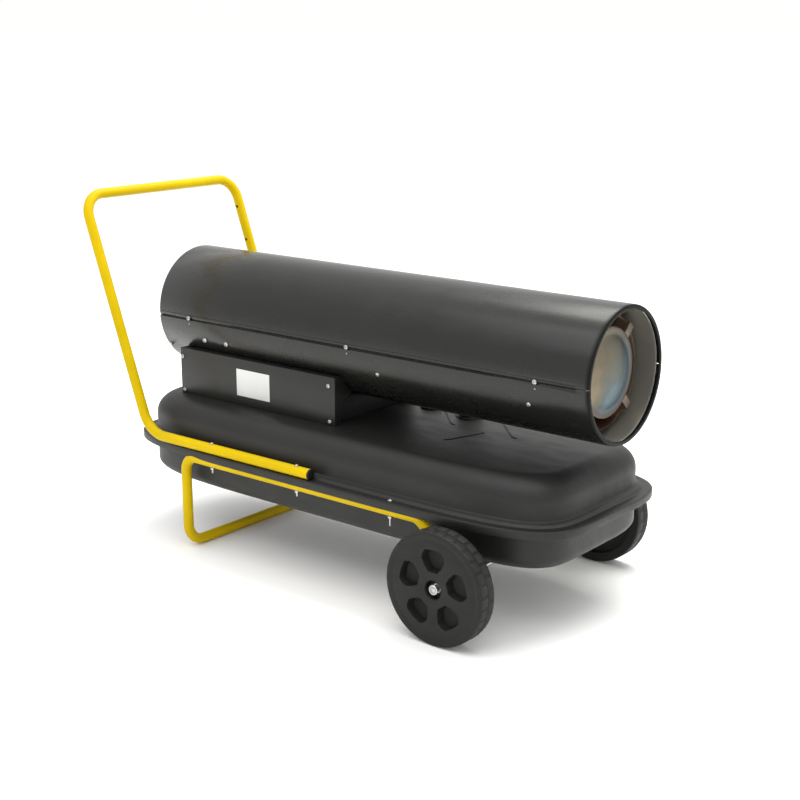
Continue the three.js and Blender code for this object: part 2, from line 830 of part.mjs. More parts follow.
// The fuel pickup under the housing, the drain plug and the two lines to the burner
function addFuelFittings() {
  const flangeZ = housingFloorZ + housing.sheet + seatGap;
  const nippleZ = flangeZ + pickup.flangeThickness + pickup.nippleRise;
  const filterZ = tank.floorClearance + tank.sheet + pickup.bottomGap;
  const suction = join(
    rod(pickup.radius, [pickup.x, 0, filterZ], [pickup.x, 0, nippleZ]),
    rod(pickup.filterRadius, [pickup.x, 0, filterZ], [pickup.x, 0, filterZ + pickup.filterLength]),
    disc(pickup.flangeRadius, pickup.flangeThickness, unitZ, [pickup.x, 0, flangeZ]),
  );
  addPiece("fuel_pickup", suction, finishes.brass);

  const underZ = tank.floorClearance - seatGap;
  const plugFlangeZ = underZ - drainPlug.flangeThickness;
  const plugHexZ = plugFlangeZ - drainPlug.hexHeight;
  const plugAt = (z) => [drainPlugX, 0, z];
  const plug = join(
    rod(drainPlug.radius, plugAt(plugFlangeZ), plugAt(underZ + drainPlug.length)),
    disc(drainPlug.flangeRadius, drainPlug.flangeThickness, unitZ, plugAt(plugFlangeZ)),
    rod(drainPlug.hexRadius, plugAt(plugHexZ), plugAt(underZ - seatGap), hexSides),
  );
  addPiece("drain_plug", plug, finishes.zinc);

  const burnerUnder = (y) => shellZ - Math.sqrt(burnerHead.radius ** 2 - y ** 2) - seatGap;
  const fuelTube = bentTube(
    [[pickup.x, 0, nippleZ + seatGap], [pickup.x, 0, burnerUnder(0)]],
    [],
    fuelLine.radius,
    fuelLine.bore,
    hexSides,
  );
  addPiece("fuel_line", fuelTube, finishes.copper);

  const pumpMiddleX = (pumpFrontX + pumpRearX) / 2;
  const lineInnerY = airLine.y - airLine.radius;
  const pumpUnderZ = shellZ - Math.sqrt(airPump.radius ** 2 - lineInnerY ** 2) - seatGap;
  const lowZ = shellZ - fan.tipRadius - airLine.fanClearance;
  const airTube = bentTube(
    [
      [pumpMiddleX, airLine.y, pumpUnderZ],
      [pumpMiddleX, airLine.y, lowZ],
      [pickup.x, airLine.y, lowZ],
      [pickup.x, airLine.y, burnerUnder(lineInnerY)],
    ],
    [airLine.bend, airLine.bend],
    airLine.radius,
    airLine.bore,
    hexSides,
  );
  addPiece("air_line", airTube, finishes.copper);
}

// The handle tube with a plug in each end
function addHandle() {
  const corners = [
    [handle.lowerFrontX, -tubeY, handleZ],
    [handle.cornerX, -tubeY, handleZ],
    [handle.topX, -tubeY, handle.topHeight],
    [handle.topX, tubeY, handle.topHeight],
    [handle.cornerX, tubeY, handleZ],
    [handle.lowerFrontX, tubeY, handleZ],
  ];
  const bends = [handle.baseBend, handle.topBend, handle.topBend, handle.baseBend];
  const bare = bentTube(corners, bends, tube.radius, tube.radius - tube.wall);
  const lowZ = handleZ - tube.radius - cutOverrun;
  const highZ = handleZ + tube.radius + cutOverrun;
  addPiece("handle_tube", cut(bare, ...boltHoles(handleBoltPlaces, lowZ, highZ)), finishes.yellowPaint);

  const spigot = (tube.radius - tube.wall) * Math.cos(Math.PI / tubeSides) - seatGap;
  sides.forEach(({ name, sign }) => {
    const start = handle.lowerFrontX + seatGap;
    const plugAt = (x) => [x, sign * tubeY, handleZ];
    const plug = join(
      rod(tube.radius, plugAt(start), plugAt(start + endPlug.flangeThickness)),
      rod(spigot, plugAt(start - endPlug.spigotLength), plugAt(start + seatGap)),
    );
    addPiece("handle_plug_" + name, plug, finishes.blackPlastic);
  });
}

// The leg tube: under the rim, down to the floor behind and down to the axle in front
function addLeg() {
  const kneeZ = legZ;
  const footZ = tubeFlat;
  const fall = new THREE.Vector2(-leg.frontBendX, wheel.radius - kneeZ);
  const reach = 1 + leg.endRun / fall.length();
  const endX = leg.frontBendX + fall.x * reach;
  const endZ = kneeZ + fall.y * reach;
  const rightHalf = [
    [endX, -tubeY, endZ],
    [leg.frontBendX, -tubeY, kneeZ],
    [leg.x, -tubeY, kneeZ],
    [leg.x, -tubeY, footZ],
  ];
  const leftHalf = rightHalf.map(([x, y, z]) => [x, -y, z]).reverse();
  const halfBends = [leg.frontBend, leg.kneeBend, leg.footBend];
  const bends = [...halfBends, ...halfBends.slice().reverse()];
  const bare = bentTube([...rightHalf, ...leftHalf], bends, tube.radius, tube.radius - tube.wall);
  const axleBore = rod(
    axle.radius + seatGap,
    [0, -tubeY - tube.radius - cutOverrun, wheel.radius],
    [0, tubeY + tube.radius + cutOverrun, wheel.radius],
  );
  const lowZ = kneeZ - tube.radius - cutOverrun;
  const highZ = kneeZ + tube.radius + cutOverrun;
  const drilled = cut(bare, axleBore, ...boltHoles(allBoltPlaces, lowZ, highZ));
  addPiece("leg_frame", drilled, finishes.yellowPaint);
}

// Bolts that clamp the handle, the tank rim and the leg together
function frameBolt(x, y, seatZ) {
  const washerTopZ = seatZ + bolt.washerThickness;
  const tipZ = legZ - tubeFlat - bolt.tail;
  const headTopZ = washerTopZ + bolt.headHeight;
  return join(
    rod(bolt.radius, [x, y, tipZ], [x, y, washerTopZ], smallSides),
    rod(bolt.washerRadius, [x, y, seatZ], [x, y, washerTopZ]),
    rod(bolt.headRadius, [x, y, seatZ + seatGap], [x, y, headTopZ], hexSides),
  );
}

function addFrameBolts() {
  const onHandleZ = handleZ + tubeFlat + seatGap;
  const onRimZ = rimTopZ + seatGap;
  const places = [
    { place: "rear", x: bolt.rearX, seatZ: onHandleZ },
    { place: "middle", x: bolt.middleX, seatZ: onHandleZ },
    { place: "front", x: bolt.frontX, seatZ: onRimZ },
  ];
  places.forEach(({ place, x, seatZ }) => {
    sides.forEach(({ name, sign }) => {
      addPiece("frame_bolt_" + place + "_" + name, frameBolt(x, sign * tubeY, seatZ), finishes.zinc);
    });
  });
}

// A moulded wheel about Y, from its inner face at zero to its outer face
function wheelBody() {
  const bore = axle.radius + seatGap;
  const hubFace = wheel.width - wheel.recessDepth;
  const body = turned(
    [
      [bore, -wheel.hubReach],
      [wheel.hubRadius, -wheel.hubReach],
      [wheel.hubRadius, wheel.backDepth],
      [wheel.backRimRadius, wheel.backDepth],
      [wheel.backRimRadius, 0],
      [wheel.radius - wheel.shoulder, 0],
      [wheel.radius, wheel.shoulder],
      [wheel.radius, wheel.width - wheel.shoulder],
      [wheel.radius - wheel.shoulder, wheel.width],
      [wheel.recessRadius, wheel.width],
      [wheel.recessRadius, hubFace],
      [bore, hubFace],
    ],
    unitY,
    [0, 0, 0],
    wheelSides,
  );
  const pocket = new THREE.Shape(
    [
      [-wheel.pocketInnerWidth / 2, wheel.pocketInner],
      [wheel.pocketInnerWidth / 2, wheel.pocketInner],
      [wheel.pocketWaistWidth / 2, wheel.pocketWaist],
      [wheel.pocketOuterWidth / 2, wheel.pocketOuter],
      [-wheel.pocketOuterWidth / 2, wheel.pocketOuter],
      [-wheel.pocketWaistWidth / 2, wheel.pocketWaist],
    ].map(([x, z]) => new THREE.Vector2(x, z)),
  );
  const depth = wheel.pocketDepth + cutOverrun;
  const pockets = Array.from({ length: wheel.pocketCount }, (_, i) =>
    new THREE.ExtrudeGeometry(pocket, { depth, bevelEnabled: false })
      .rotateX(Math.PI / 2)
      .translate(0, wheel.width + cutOverrun, 0)
      .rotateY((2 * Math.PI * i) / wheel.pocketCount),
  );
  return cut(body, ...pockets);
}

// Wheels, their axle, washers and cotter pins
function addRunningGear() {
  const hubFaceY = wheelOuterY - wheel.recessDepth;
  const washerY = hubFaceY + seatGap;
  const pinY = washerY + axle.washerThickness + seatGap + cotterPin.radius;
  const axleEndY = wheelOuterY - axle.endInset;
  const pinBores = sides.map(({ sign }) =>
    rod(
      cotterPin.radius + seatGap,
      [0, sign * pinY, wheel.radius - cotterPin.reach],
      [0, sign * pinY, wheel.radius + cotterPin.reach],
    ),
  );
  const bar = rod(axle.radius, [0, -axleEndY, wheel.radius], [0, axleEndY, wheel.radius]);
  addPiece("axle", cut(bar, ...pinBores), finishes.zinc);

  sides.forEach(({ name, sign }) => {
    const wheelMesh = addPiece("wheel_" + name, wheelBody(), finishes.wheelPlastic);
    wheelMesh.rotation.z = sign > 0 ? 0 : Math.PI;
    wheelMesh.position.set(0, sign * wheelInnerY, wheel.radius);

    const axis = unitY.clone().multiplyScalar(sign);
    const washerPlace = [0, sign * washerY, wheel.radius];
    const washer = ring(
      axle.radius + seatGap,
      axle.washerRadius,
      axle.washerThickness,
      axis,
      washerPlace,
      smallSides,
    );
    addPiece("axle_washer_" + name, washer, finishes.zinc);

    const pin = join(
      rod(
        cotterPin.radius,
        [0, sign * pinY, wheel.radius - cotterPin.reach],
        [0, sign * pinY, wheel.radius + cotterPin.reach],
      ),
      new THREE.TorusGeometry(cotterPin.eyeRadius, cotterPin.radius, hexSides, smallSides)
        .translate(0, cotterPin.reach + cotterPin.eyeRadius - cotterPin.radius, 0)
        .rotateX(Math.PI / 2)
        .translate(0, sign * pinY, wheel.radius),
    );
    addPiece("cotter_pin_" + name, pin, finishes.zinc);
  });
}

// Stations along the shell: places and radii of its outer and inner faces
function shellStations() {
  const rollRise = shell.radius - shell.mouthRadius - shell.mouthFlat;
  const rollX = shellFrontX - shell.rollDepth;
  const rollRadius = shell.radius - rollRise;
  const stations = [
    { outerX: shell.rearX, outerRadius: shell.radius, innerX: shell.rearX, innerRadius: shellInner },
  ];
  for (let step = 0; step <= rollSteps; step++) {
    const turn = (Math.PI / 2) * (step / rollSteps);
    stations.push({
      outerX: rollX + shell.rollDepth * Math.sin(turn),
      outerRadius: rollRadius + rollRise * Math.cos(turn),
      innerX: rollX + (shell.rollDepth - shell.sheet) * Math.sin(turn),
      innerRadius: rollRadius + (rollRise - shell.sheet) * Math.cos(turn),
    });
  }
  stations.push({
    outerX: shellFrontX,
    outerRadius: shell.mouthRadius,
    innerX: shellFrontX - shell.sheet,
    innerRadius: shell.mouthRadius,
  });
  return stations;
}

function aroundShell(x, radius, angle) {
  return new THREE.Vector3(x, radius * Math.cos(angle), shellZ + radius * Math.sin(angle));
}

// Half of the shell, from one angle to another
function halfShell(fromAngle, toAngle) {
  const angles = Array.from(
    { length: halfShellSteps + 1 },
    (_, i) => fromAngle + ((toAngle - fromAngle) * i) / halfShellSteps,
  );
  const stations = shellStations();
  const outer = angles.map((angle) => stations.map((s) => aroundShell(s.outerX, s.outerRadius, angle)));
  const inner = angles.map((angle) => stations.map((s) => aroundShell(s.innerX, s.innerRadius, angle)));
  return sheetBetween(outer, inner);
}

// The strip along each top edge of the lower half, which stands up behind the upper half
function seamTongue(sign) {
  const rootAngle = -Math.asin(shell.tongueRoot / shell.radius);
  const stepAngle = -Math.asin((shell.lap + 2 * seatGap) / shell.radius);
  const topAngle = Math.asin(shell.tongueHeight / shell.radius);
  const rootRadius = shell.radius - shell.sheet / 2;
  const outline = [
    [rootRadius, rootAngle],
    [rootRadius, stepAngle],
    [shellSeatRadius, stepAngle],
    [shellSeatRadius, topAngle],
    [shellSeatRadius - shell.sheet, topAngle],
    [shellSeatRadius - shell.sheet, stepAngle],
    [shellSeatRadius - shell.sheet, rootAngle],
  ].map(([radius, angle]) => [sign * radius * Math.cos(angle), shellZ + radius * Math.sin(angle)]);
  const length = shellFrontX - shell.rearX - shell.rollDepth - 2 * shell.tongueInset;
  return plateAcrossX(sign > 0 ? outline : outline.reverse(), shell.rearX + shell.tongueInset, length);
}

function addShell() {
  const lowerEdgeAngle = Math.asin((shell.lap + seatGap) / shell.radius);
  addPiece("shell_upper", halfShell(-lapAngle, Math.PI + lapAngle), finishes.blackPaint);
  const lower = halfShell(-Math.PI + lowerEdgeAngle, -lowerEdgeAngle);
  const whole = join(lower, seamTongue(1), seamTongue(-1));
  const lineHole = rod(
    fuelLine.radius + seatGap,
    [pickup.x, 0, shellZ - shell.radius - cutOverrun],
    [pickup.x, 0, shellZ - shellInner + cutOverrun],
  );
  addPiece("shell_lower", cut(whole, lineHole), finishes.blackPaint);

  const linerRadius = shellSeatRadius - shell.sheet - seatGap;
  const linerRearX = shellFrontX - mouthLiner.frontInset - mouthLiner.length;
  const liner = ring(
    linerRadius - mouthLiner.sheet,
    linerRadius,
    mouthLiner.length,
    unitX,
    [linerRearX, 0, shellZ],
    2 * halfShellSteps,
  );
  addPiece("outlet_liner", liner, finishes.linerSteel);
}

// The chamber with the feet that hold it off the shell
function addChamber() {
  const barrel = ring(
    chamber.radius - chamber.sheet,
    chamber.radius,
    chamber.length,
    unitX,
    [chamberRearX, 0, shellZ],
    bigRoundSides,
  );
  const footPlaces = [chamber.frontStandOffInset, chamber.rearStandOffInset];
  const feet = footPlaces.flatMap((inset) =>
    standOffAngles.map((angle) =>
      block(
        [-chamber.standOffWidth / 2, chamber.radius - chamber.sheet, -chamber.standOffThickness / 2],
        [chamber.standOffWidth / 2, shellSeatRadius, chamber.standOffThickness / 2],
      )
        .rotateX(angle)
        .translate(shellFrontX - inset, 0, shellZ),
    ),
  );
  addPiece("combustion_chamber", join(barrel, ...feet), finishes.heatedSteel);

  const headRadius = (chamber.radius - chamber.sheet) * Math.cos(Math.PI / bigRoundSides) - seatGap;
  const headX = chamberRearX + chamberHead.inset;
  const burnerBore = burnerHead.radius + seatGap;
  const head = turned(
    [
      [burnerBore, 0],
      [headRadius, 0],
      [headRadius, chamberHead.skirt],
      [headRadius - chamberHead.sheet, chamberHead.skirt],
      [headRadius - chamberHead.sheet, chamberHead.sheet],
      [burnerBore, chamberHead.sheet],
    ],
    unitX,
    [headX, 0, shellZ],
  );
  const port = (y, z, radius) =>
    rod(radius + seatGap, [headX - cutOverrun, y, z], [headX + chamberHead.sheet + cutOverrun, y, z]);
  const ported = cut(
    head,
    port(0, shellZ + chamberHead.portDistance, photocell.radius),
    port(-chamberHead.portDistance, shellZ, igniter.radius),
  );
  addPiece("chamber_head", ported, finishes.heatedSteel);
  return headX;
}

// The domed disc in front of the flame, held to the chamber by hooked tabs
function addFlameDisc() {
  const sheet = flameDisc.sheet;
  const dome = turned(
    [
      [0, flameDisc.domeHeight],
      [flameDisc.domeMidRadius, flameDisc.domeMidHeight],
      [flameDisc.domeRadius, 0],
      [flameDisc.radius, 0],
      [flameDisc.radius, sheet],
      [flameDisc.domeRadius, sheet],
      [flameDisc.domeMidRadius, flameDisc.domeMidHeight + sheet],
      [0, flameDisc.domeHeight + sheet],
    ],
    unitX,
    [0, 0, 0],
    bigRoundSides,
  );
  const hookInner = chamber.radius + seatGap;
  const half = flameDisc.tabWidth / 2;
  const rootY = flameDisc.radius - sheet;
  const tabs = Array.from({ length: flameDisc.tabCount }, (_, i) => {
    const angle = (2 * Math.PI * (i + 1 / 2)) / flameDisc.tabCount;
    const whole = block([-flameDisc.tabHook, rootY, -half], [sheet, hookInner + sheet, half]);
    const notch = block(
      [-flameDisc.tabHook - cutOverrun, rootY - cutOverrun, -half - cutOverrun],
      [0, hookInner, half + cutOverrun],
    );
    return cut(whole, notch).rotateX(angle);
  });
  const mesh = addPiece("flame_disc", join(dome, ...tabs), finishes.heatedSteel);
  mesh.position.set(chamberFrontX + flameDisc.lead, 0, shellZ);
}

// Burner head, nozzle, igniter and photocell on the rear plate of the chamber
function addBurner(headX) {
  const flangeX = headX - seatGap - burnerHead.flangeThickness;
  const rearX = headX - burnerHead.rearInset;
  const frontX = rearX + burnerHead.length;
  const nozzleBore = sprayNozzle.radius + seatGap;
  const wall = burnerHead.flangeThickness;
  const cup = turned(
    [
      [nozzleBore, rearX],
      [burnerHead.radius, rearX],
      [burnerHead.radius, flangeX],
      [burnerHead.flangeRadius, flangeX],
      [burnerHead.flangeRadius, flangeX + burnerHead.flangeThickness],
      [burnerHead.radius, flangeX + burnerHead.flangeThickness],
      [burnerHead.radius, frontX],
      [burnerHead.radius - wall, frontX],
      [burnerHead.radius - wall, rearX + burnerHead.rearInset],
      [nozzleBore, rearX + burnerHead.rearInset],
    ],
    unitX,
    [0, 0, shellZ],
  );
  addPiece("burner_head", cup, finishes.aluminium);

  const nozzle = turned(
    [
      [0, 0],
      [sprayNozzle.radius, 0],
      [sprayNozzle.radius, sprayNozzle.length],
      [sprayNozzle.tipRadius, sprayNozzle.length + sprayNozzle.tipLength],
      [0, sprayNozzle.length + sprayNozzle.tipLength],
    ],
    unitX,
    [rearX, 0, shellZ],
  );
  addPiece("spray_nozzle", nozzle, finishes.brass);

  const plugSeatX = headX - seatGap;
  const plug = (part, y, z) =>
    join(
      rod(part.radius, [headX - part.length / 2, y, z], [headX + part.length / 2, y, z]),
      disc(part.flangeRadius, part.flangeThickness, unitX, [plugSeatX - part.flangeThickness, y, z]),
    );
  const portY = -chamberHead.portDistance;
  const sparkX = headX + igniter.length / 2;
  const wireX = sparkX + igniter.radius;
  const electrode = bentTube(
    [
      [sparkX - igniter.radius, portY, shellZ],
      [wireX, portY, shellZ],
      [wireX, -igniter.sparkDistance, shellZ],
    ],
    [igniter.wireBend],
    igniter.wireRadius,
    igniter.wireBore,
    hexSides,
  );
  addPiece("igniter", join(plug(igniter, portY, shellZ), electrode), finishes.ceramic);
  addPiece("photocell", plug(photocell, 0, shellZ + chamberHead.portDistance), finishes.blackPlastic);
}

// The motor on its bracket
function addMotor() {
  const shaftBore = shaft.radius + seatGap;
  const body = turned(
    [
      [shaftBore, 0],
      [motor.radius, 0],
      [motor.radius, motor.length],
      [motor.bossRadius, motor.length],
      [motor.bossRadius, motor.length + motor.bossLength],
      [shaftBore, motor.length + motor.bossLength],
    ],
    unitX,
    [motorRearX, 0, shellZ],
  );
  addPiece("motor", body, finishes.aluminium);

  const sheet = motorBracket.sheet;
  const outerRadius = shellSeatRadius;
  const plateTop = -motor.radius - seatGap;
  const plateUnder = plateTop - sheet;
  const wingTop = plateTop + motorBracket.rise;
  const edge = (radius, z) => Math.sqrt(radius ** 2 - z ** 2);
  const innerRadius = outerRadius - sheet;
  const outline = [
    [edge(outerRadius, plateUnder), plateUnder],
    [edge(outerRadius, (plateUnder + wingTop) / 2), (plateUnder + wingTop) / 2],
    [edge(outerRadius, wingTop), wingTop],
    [edge(innerRadius, wingTop), wingTop],
    [edge(innerRadius, (plateTop + wingTop) / 2), (plateTop + wingTop) / 2],
    [edge(innerRadius, plateTop), plateTop],
  ];
  const mirrored = outline.map(([y, z]) => [-y, z]).reverse();
  const section = [...outline, ...mirrored].map(([y, z]) => [y, shellZ + z]);
  const bracketX = motorFrontX - motorBracket.frontInset - motorBracket.length;
  addPiece("motor_bracket", plateAcrossX(section, bracketX, motorBracket.length), finishes.zinc);
}

// A fan blade along +Y, twisted from root to tip
function fanBlade() {
  const rootRadius = fan.hubRadius - fan.bladeSheet;
  const edges = [-1 / 2, 1 / 2];
  const grid = (lift) =>
    Array.from({ length: fan.bladeRows }, (_, i) => {
      const share = i / (fan.bladeRows - 1);
      const radius = rootRadius + (fan.tipRadius - rootRadius) * share;
      const chord = fan.rootChord + (fan.tipChord - fan.rootChord) * share;
      const pitch = fan.rootPitch + (fan.tipPitch - fan.rootPitch) * share;
      return edges.map((edge) => {
        const x = chord * edge * Math.sin(pitch) + lift * Math.cos(pitch);
        const z = chord * edge * Math.cos(pitch) - lift * Math.sin(pitch);
        const reach = Math.sqrt(radius ** 2 - z ** 2);
        return new THREE.Vector3(x, reach, z);
      });
    });
  return sheetBetween(grid(fan.bladeSheet / 2), grid(-fan.bladeSheet / 2));
}

// Everything that turns with the motor: shaft, fan and pump rotor
function addRotor() {
  const rearX = motorRearX - shaft.rearReach;
  const frontX = motorFrontX + shaft.frontReach;
  const bar = rod(shaft.radius, [rearX, 0, shellZ], [frontX, 0, shellZ], roundSides);
  addPiece("motor_shaft", bar, finishes.zinc);

  const bore = shaft.radius + seatGap;
  const hubX = motorFrontX + fan.hubStandOff;
  const middleX = hubX + fan.hubLength / 2;
  const hub = ring(bore, fan.hubRadius, fan.hubLength, unitX, [-fan.hubLength / 2, 0, 0]);
  const blades = Array.from({ length: fan.bladeCount }, (_, i) =>
    fanBlade().rotateX((2 * Math.PI * i) / fan.bladeCount),
  );
  const fanMesh = addPiece("fan", join(hub, ...blades), finishes.aluminium);
  fanMesh.position.set(middleX, 0, shellZ);

  const rotorFrontX = pumpRearX + airPump.cavityDepth - seatGap;
  const rotor = ring(bore, airPump.rotorRadius, airPump.rotorLength, unitX, [
    rotorFrontX - airPump.rotorLength,
    0,
    shellZ,
  ]);
  addPiece("pump_rotor", rotor, finishes.stainless);
}

// The vane pump on the back of the motor, its cover and the pressure gauge
function addAirPump() {
  const shaftBore = shaft.radius + seatGap;
  const body = turned(
    [
      [shaftBore, airPump.cavityDepth],
      [airPump.cavityRadius, airPump.cavityDepth],
      [airPump.cavityRadius, 0],
      [airPump.radius, 0],
      [airPump.radius, airPump.depth],
      [shaftBore, airPump.depth],
    ],
    unitX,
    [pumpRearX, 0, shellZ],
  );
  addPiece("air_pump", body, finishes.aluminium);

  const gaugeZ = shellZ + pressureGauge.rise;
  const cover = turned(
    [
      [0, 0],
      [airPump.coverRadius - airPump.coverRimStep, 0],
      [airPump.coverRadius, airPump.coverRimStep],
      [airPump.coverRadius, airPump.coverDepth],
      [0, airPump.coverDepth],
    ],
    unitX,
    [coverRearX, 0, shellZ],
  );
  addPiece("pump_cover", cover, finishes.blackPlastic);

  const rearward = unitX.clone().negate();
  const gaugeFrontX = coverRearX - seatGap;
  const faceRadius = pressureGauge.radius - pressureGauge.bezel;
  const faceDepth = pressureGauge.depth - pressureGauge.faceDepth;
  const gauge = turned(
    [
      [0, 0],
      [pressureGauge.radius, 0],
      [pressureGauge.radius, pressureGauge.depth],
      [faceRadius, pressureGauge.depth],
      [faceRadius, faceDepth],
      [0, faceDepth],
    ],
    rearward,
    [gaugeFrontX, 0, gaugeZ],
  );
  const needleX = gaugeFrontX - faceDepth;
  const needleHole = rod(
    gaugeNeedle.pinRadius + seatGap,
    [needleX - cutOverrun, 0, gaugeZ],
    [needleX + pressureGauge.faceDepth, 0, gaugeZ],
  );
  addPiece("pressure_gauge", cut(gauge, needleHole), finishes.brass);

  const pointer = addPiece("pressure_needle", needle(), finishes.redPlastic);
  pointer.rotation.y = -Math.PI / 2;
  pointer.position.set(needleX - seatGap, 0, gaugeZ);
}

// The wire guard over the air inlet
function addGuard() {
  const middleX = shell.rearX + guard.inset;
  const outerRadius = shellSeatRadius - guard.wireRadius;
  const rings = Array.from({ length: guard.ringCount }, (_, i) => {
    const share = i / (guard.ringCount - 1);
    const radius = guard.innerRadius + (outerRadius - guard.innerRadius) * share;
    return new THREE.TorusGeometry(radius, guard.wireRadius, wireSides, roundSides)
      .rotateY(Math.PI / 2)
      .translate(middleX, 0, shellZ);
  });
  const spokeX = middleX + guard.wireRadius;
  const spokes = Array.from({ length: guard.spokeCount }, (_, i) =>
    rod(guard.wireRadius, [spokeX, guard.innerRadius, 0], [spokeX, outerRadius, 0], wireSides)
      .rotateX((2 * Math.PI * (i + 1 / 2)) / guard.spokeCount)
      .translate(0, 0, shellZ),
  );
  addPiece("fan_guard", join(...rings, ...spokes), finishes.blackPaint);
}

// A bar the size of the shell, with the gap that pieces under it keep
function shellClearance() {
  return rod(
    shell.radius + seatGap,
    [housing.rearX - cutOverrun, 0, shellZ],
    [housing.frontX + cutOverrun, 0, shellZ],
    2 * bigRoundSides,
  );
}

// The housing floor with its two end walls, which carry the shell
function addHousing() {
  const sheet = housing.sheet;
  const halfWidth = coverInnerY - seatGap;
  const rearWallX = housing.rearX + housing.wallInset;
  const frontWallX = housing.frontX - housing.wallInset;
  const wallTopZ = housingTopZ - sheet - seatGap;
  const whole = block(
    [rearWallX - housing.flangeWidth, -halfWidth, housingFloorZ],
    [frontWallX + housing.flangeWidth, halfWidth, wallTopZ],
  );
  const middle = block(
    [rearWallX + sheet, -halfWidth - cutOverrun, housingFloorZ + sheet],
    [frontWallX - sheet, halfWidth + cutOverrun, wallTopZ + cutOverrun],
  );
  const behindWall = block(
    [rearWallX - housing.flangeWidth - cutOverrun, sheet - halfWidth, housingFloorZ - cutOverrun],
    [rearWallX, halfWidth - sheet, wallTopZ + cutOverrun],
  );
  const beforeWall = block(
    [frontWallX, sheet - halfWidth, housingFloorZ - cutOverrun],
    [frontWallX + housing.flangeWidth + cutOverrun, halfWidth - sheet, wallTopZ + cutOverrun],
  );
  const pickupHole = rod(
    pickup.filterRadius + seatGap,
    [pickup.x, 0, housingFloorZ - cutOverrun],
    [pickup.x, 0, housingFloorZ + sheet + cutOverrun],
  );
  const base = cut(whole, middle, behindWall, beforeWall, shellClearance(), pickupHole);
  addPiece("base_housing", base, finishes.blackPaint);
}

// A cover for the -Y side: face, top strip and two end returns that reach under the shell
function sideCover() {
  const sheet = housing.sheet;
  const faceY = -housingHalfWidth;
  const length = housing.frontX - housing.rearX;
  const endOutline = [
    [faceY, housingFloorZ],
    [faceY + housing.endFoot, housingFloorZ],
    [faceY + housing.endNotchDepth, housingFloorZ + housing.endNotchHeight],
    [faceY + housing.endTipDepth, housingFloorZ + housing.endTipHeight],
    [faceY + housing.endTipDepth, housingTopZ],
    [faceY, housingTopZ],
  ];
  const inside = block(
    [housing.rearX + sheet, faceY + sheet, housingFloorZ - cutOverrun],
    [housing.frontX - sheet, faceY + housing.endTipDepth + cutOverrun, housingTopZ - sheet],
  );
  return cut(plateAcrossX(endOutline, housing.rearX, length), inside, shellClearance());
}

function holeInLeftCover(radius, x, z) {
  return rod(radius, [x, coverInnerY - cutOverrun, z], [x, housingHalfWidth + cutOverrun, z]);
}

function addSideCovers() {
  addPiece("side_cover_right", sideCover(), finishes.blackPaint);

  const turnedCover = sideCover().scale(1, -1, 1);
  const flipped = turnedCover.getIndex().array;
  for (let i = 0; i < flipped.length; i += 3) {
    [flipped[i], flipped[i + 1]] = [flipped[i + 1], flipped[i]];
  }
  const switchZ = housingFloorZ + powerSwitch.height;
  const halfLength = powerSwitch.length / 2 + seatGap;
  const halfWidth = powerSwitch.width / 2 + seatGap;
  const switchHole = block(
    [powerSwitch.x - halfLength, coverInnerY - cutOverrun, switchZ - halfWidth],
    [powerSwitch.x + halfLength, housingHalfWidth + cutOverrun, switchZ + halfWidth],
  );
  const left = cut(
    turnedCover,
    switchHole,
    holeInLeftCover(thermostat.shaftRadius + seatGap, thermostat.x, housingFloorZ + thermostat.height),
    holeInLeftCover(cordGland.radius + seatGap, cordGland.x, housingFloorZ + cordGland.height),
  );
  addPiece("side_cover_left", left, finishes.blackPaint);

  const plateZ = housingFloorZ + ratingPlate.footHeight;
  const plateY = -housingHalfWidth - seatGap;
  const plate = block(
    [ratingPlate.rearX, plateY - ratingPlate.thickness, plateZ],
    [ratingPlate.rearX + ratingPlate.length, plateY, plateZ + ratingPlate.height],
  );
  addPiece("rating_plate", plate, finishes.whitePlate);
}

// Ignition transformer and control board inside the housing
function addElectrics() {
  const baseZ = housingFloorZ + housing.sheet + seatGap;
  const lowY = -coverInnerY + transformer.sideGap;
  const highY = lowY + transformer.width;
  const middleY = (lowY + highY) / 2;
  const core = block(
    [transformer.middleX - transformer.length / 2, lowY, baseZ],
    [transformer.middleX + transformer.length / 2, highY, baseZ + transformer.height],
  );
  const terminals = [-1, 1].map((sign) => {
    const x = transformer.middleX + sign * transformer.terminalSpread;
    return rod(
      transformer.terminalRadius,
      [x, middleY, baseZ + transformer.height / 2],
      [x, middleY, baseZ + transformer.height + transformer.terminalHeight],
    );
  });
  addPiece("ignition_transformer", join(core, ...terminals), finishes.blackPlastic);

  const boardOuterY = coverInnerY - seatGap - controlBoard.postLength;
  const boardInnerY = boardOuterY - controlBoard.thickness;
  const boardZ = baseZ + controlBoard.foot;
  const halfLength = controlBoard.length / 2;
  const panel = block(
    [controlBoard.middleX - halfLength, boardInnerY, boardZ],
    [controlBoard.middleX + halfLength, boardOuterY, boardZ + controlBoard.height],
  );
  const postSpread = halfLength - controlBoard.postInset;
  const postHeights = [controlBoard.postInset, controlBoard.height - controlBoard.postInset];
  const posts = [-1, 1].flatMap((sign) =>
    postHeights.map((height) => {
      const x = controlBoard.middleX + sign * postSpread;
      return rod(
        controlBoard.postRadius,
        [x, boardInnerY, boardZ + height],
        [x, boardOuterY + controlBoard.postLength, boardZ + height],
      );
    }),
  );
  const chipZ = boardZ + controlBoard.postInset;
  const halfChip = controlBoard.chipLength / 2;
  const chip = block(
    [controlBoard.middleX - halfChip, boardInnerY - controlBoard.chipDepth, chipZ],
    [controlBoard.middleX + halfChip, boardOuterY, chipZ + controlBoard.chipHeight],
  );
  addPiece("control_board", join(panel, ...posts, chip), finishes.boardGreen);
}

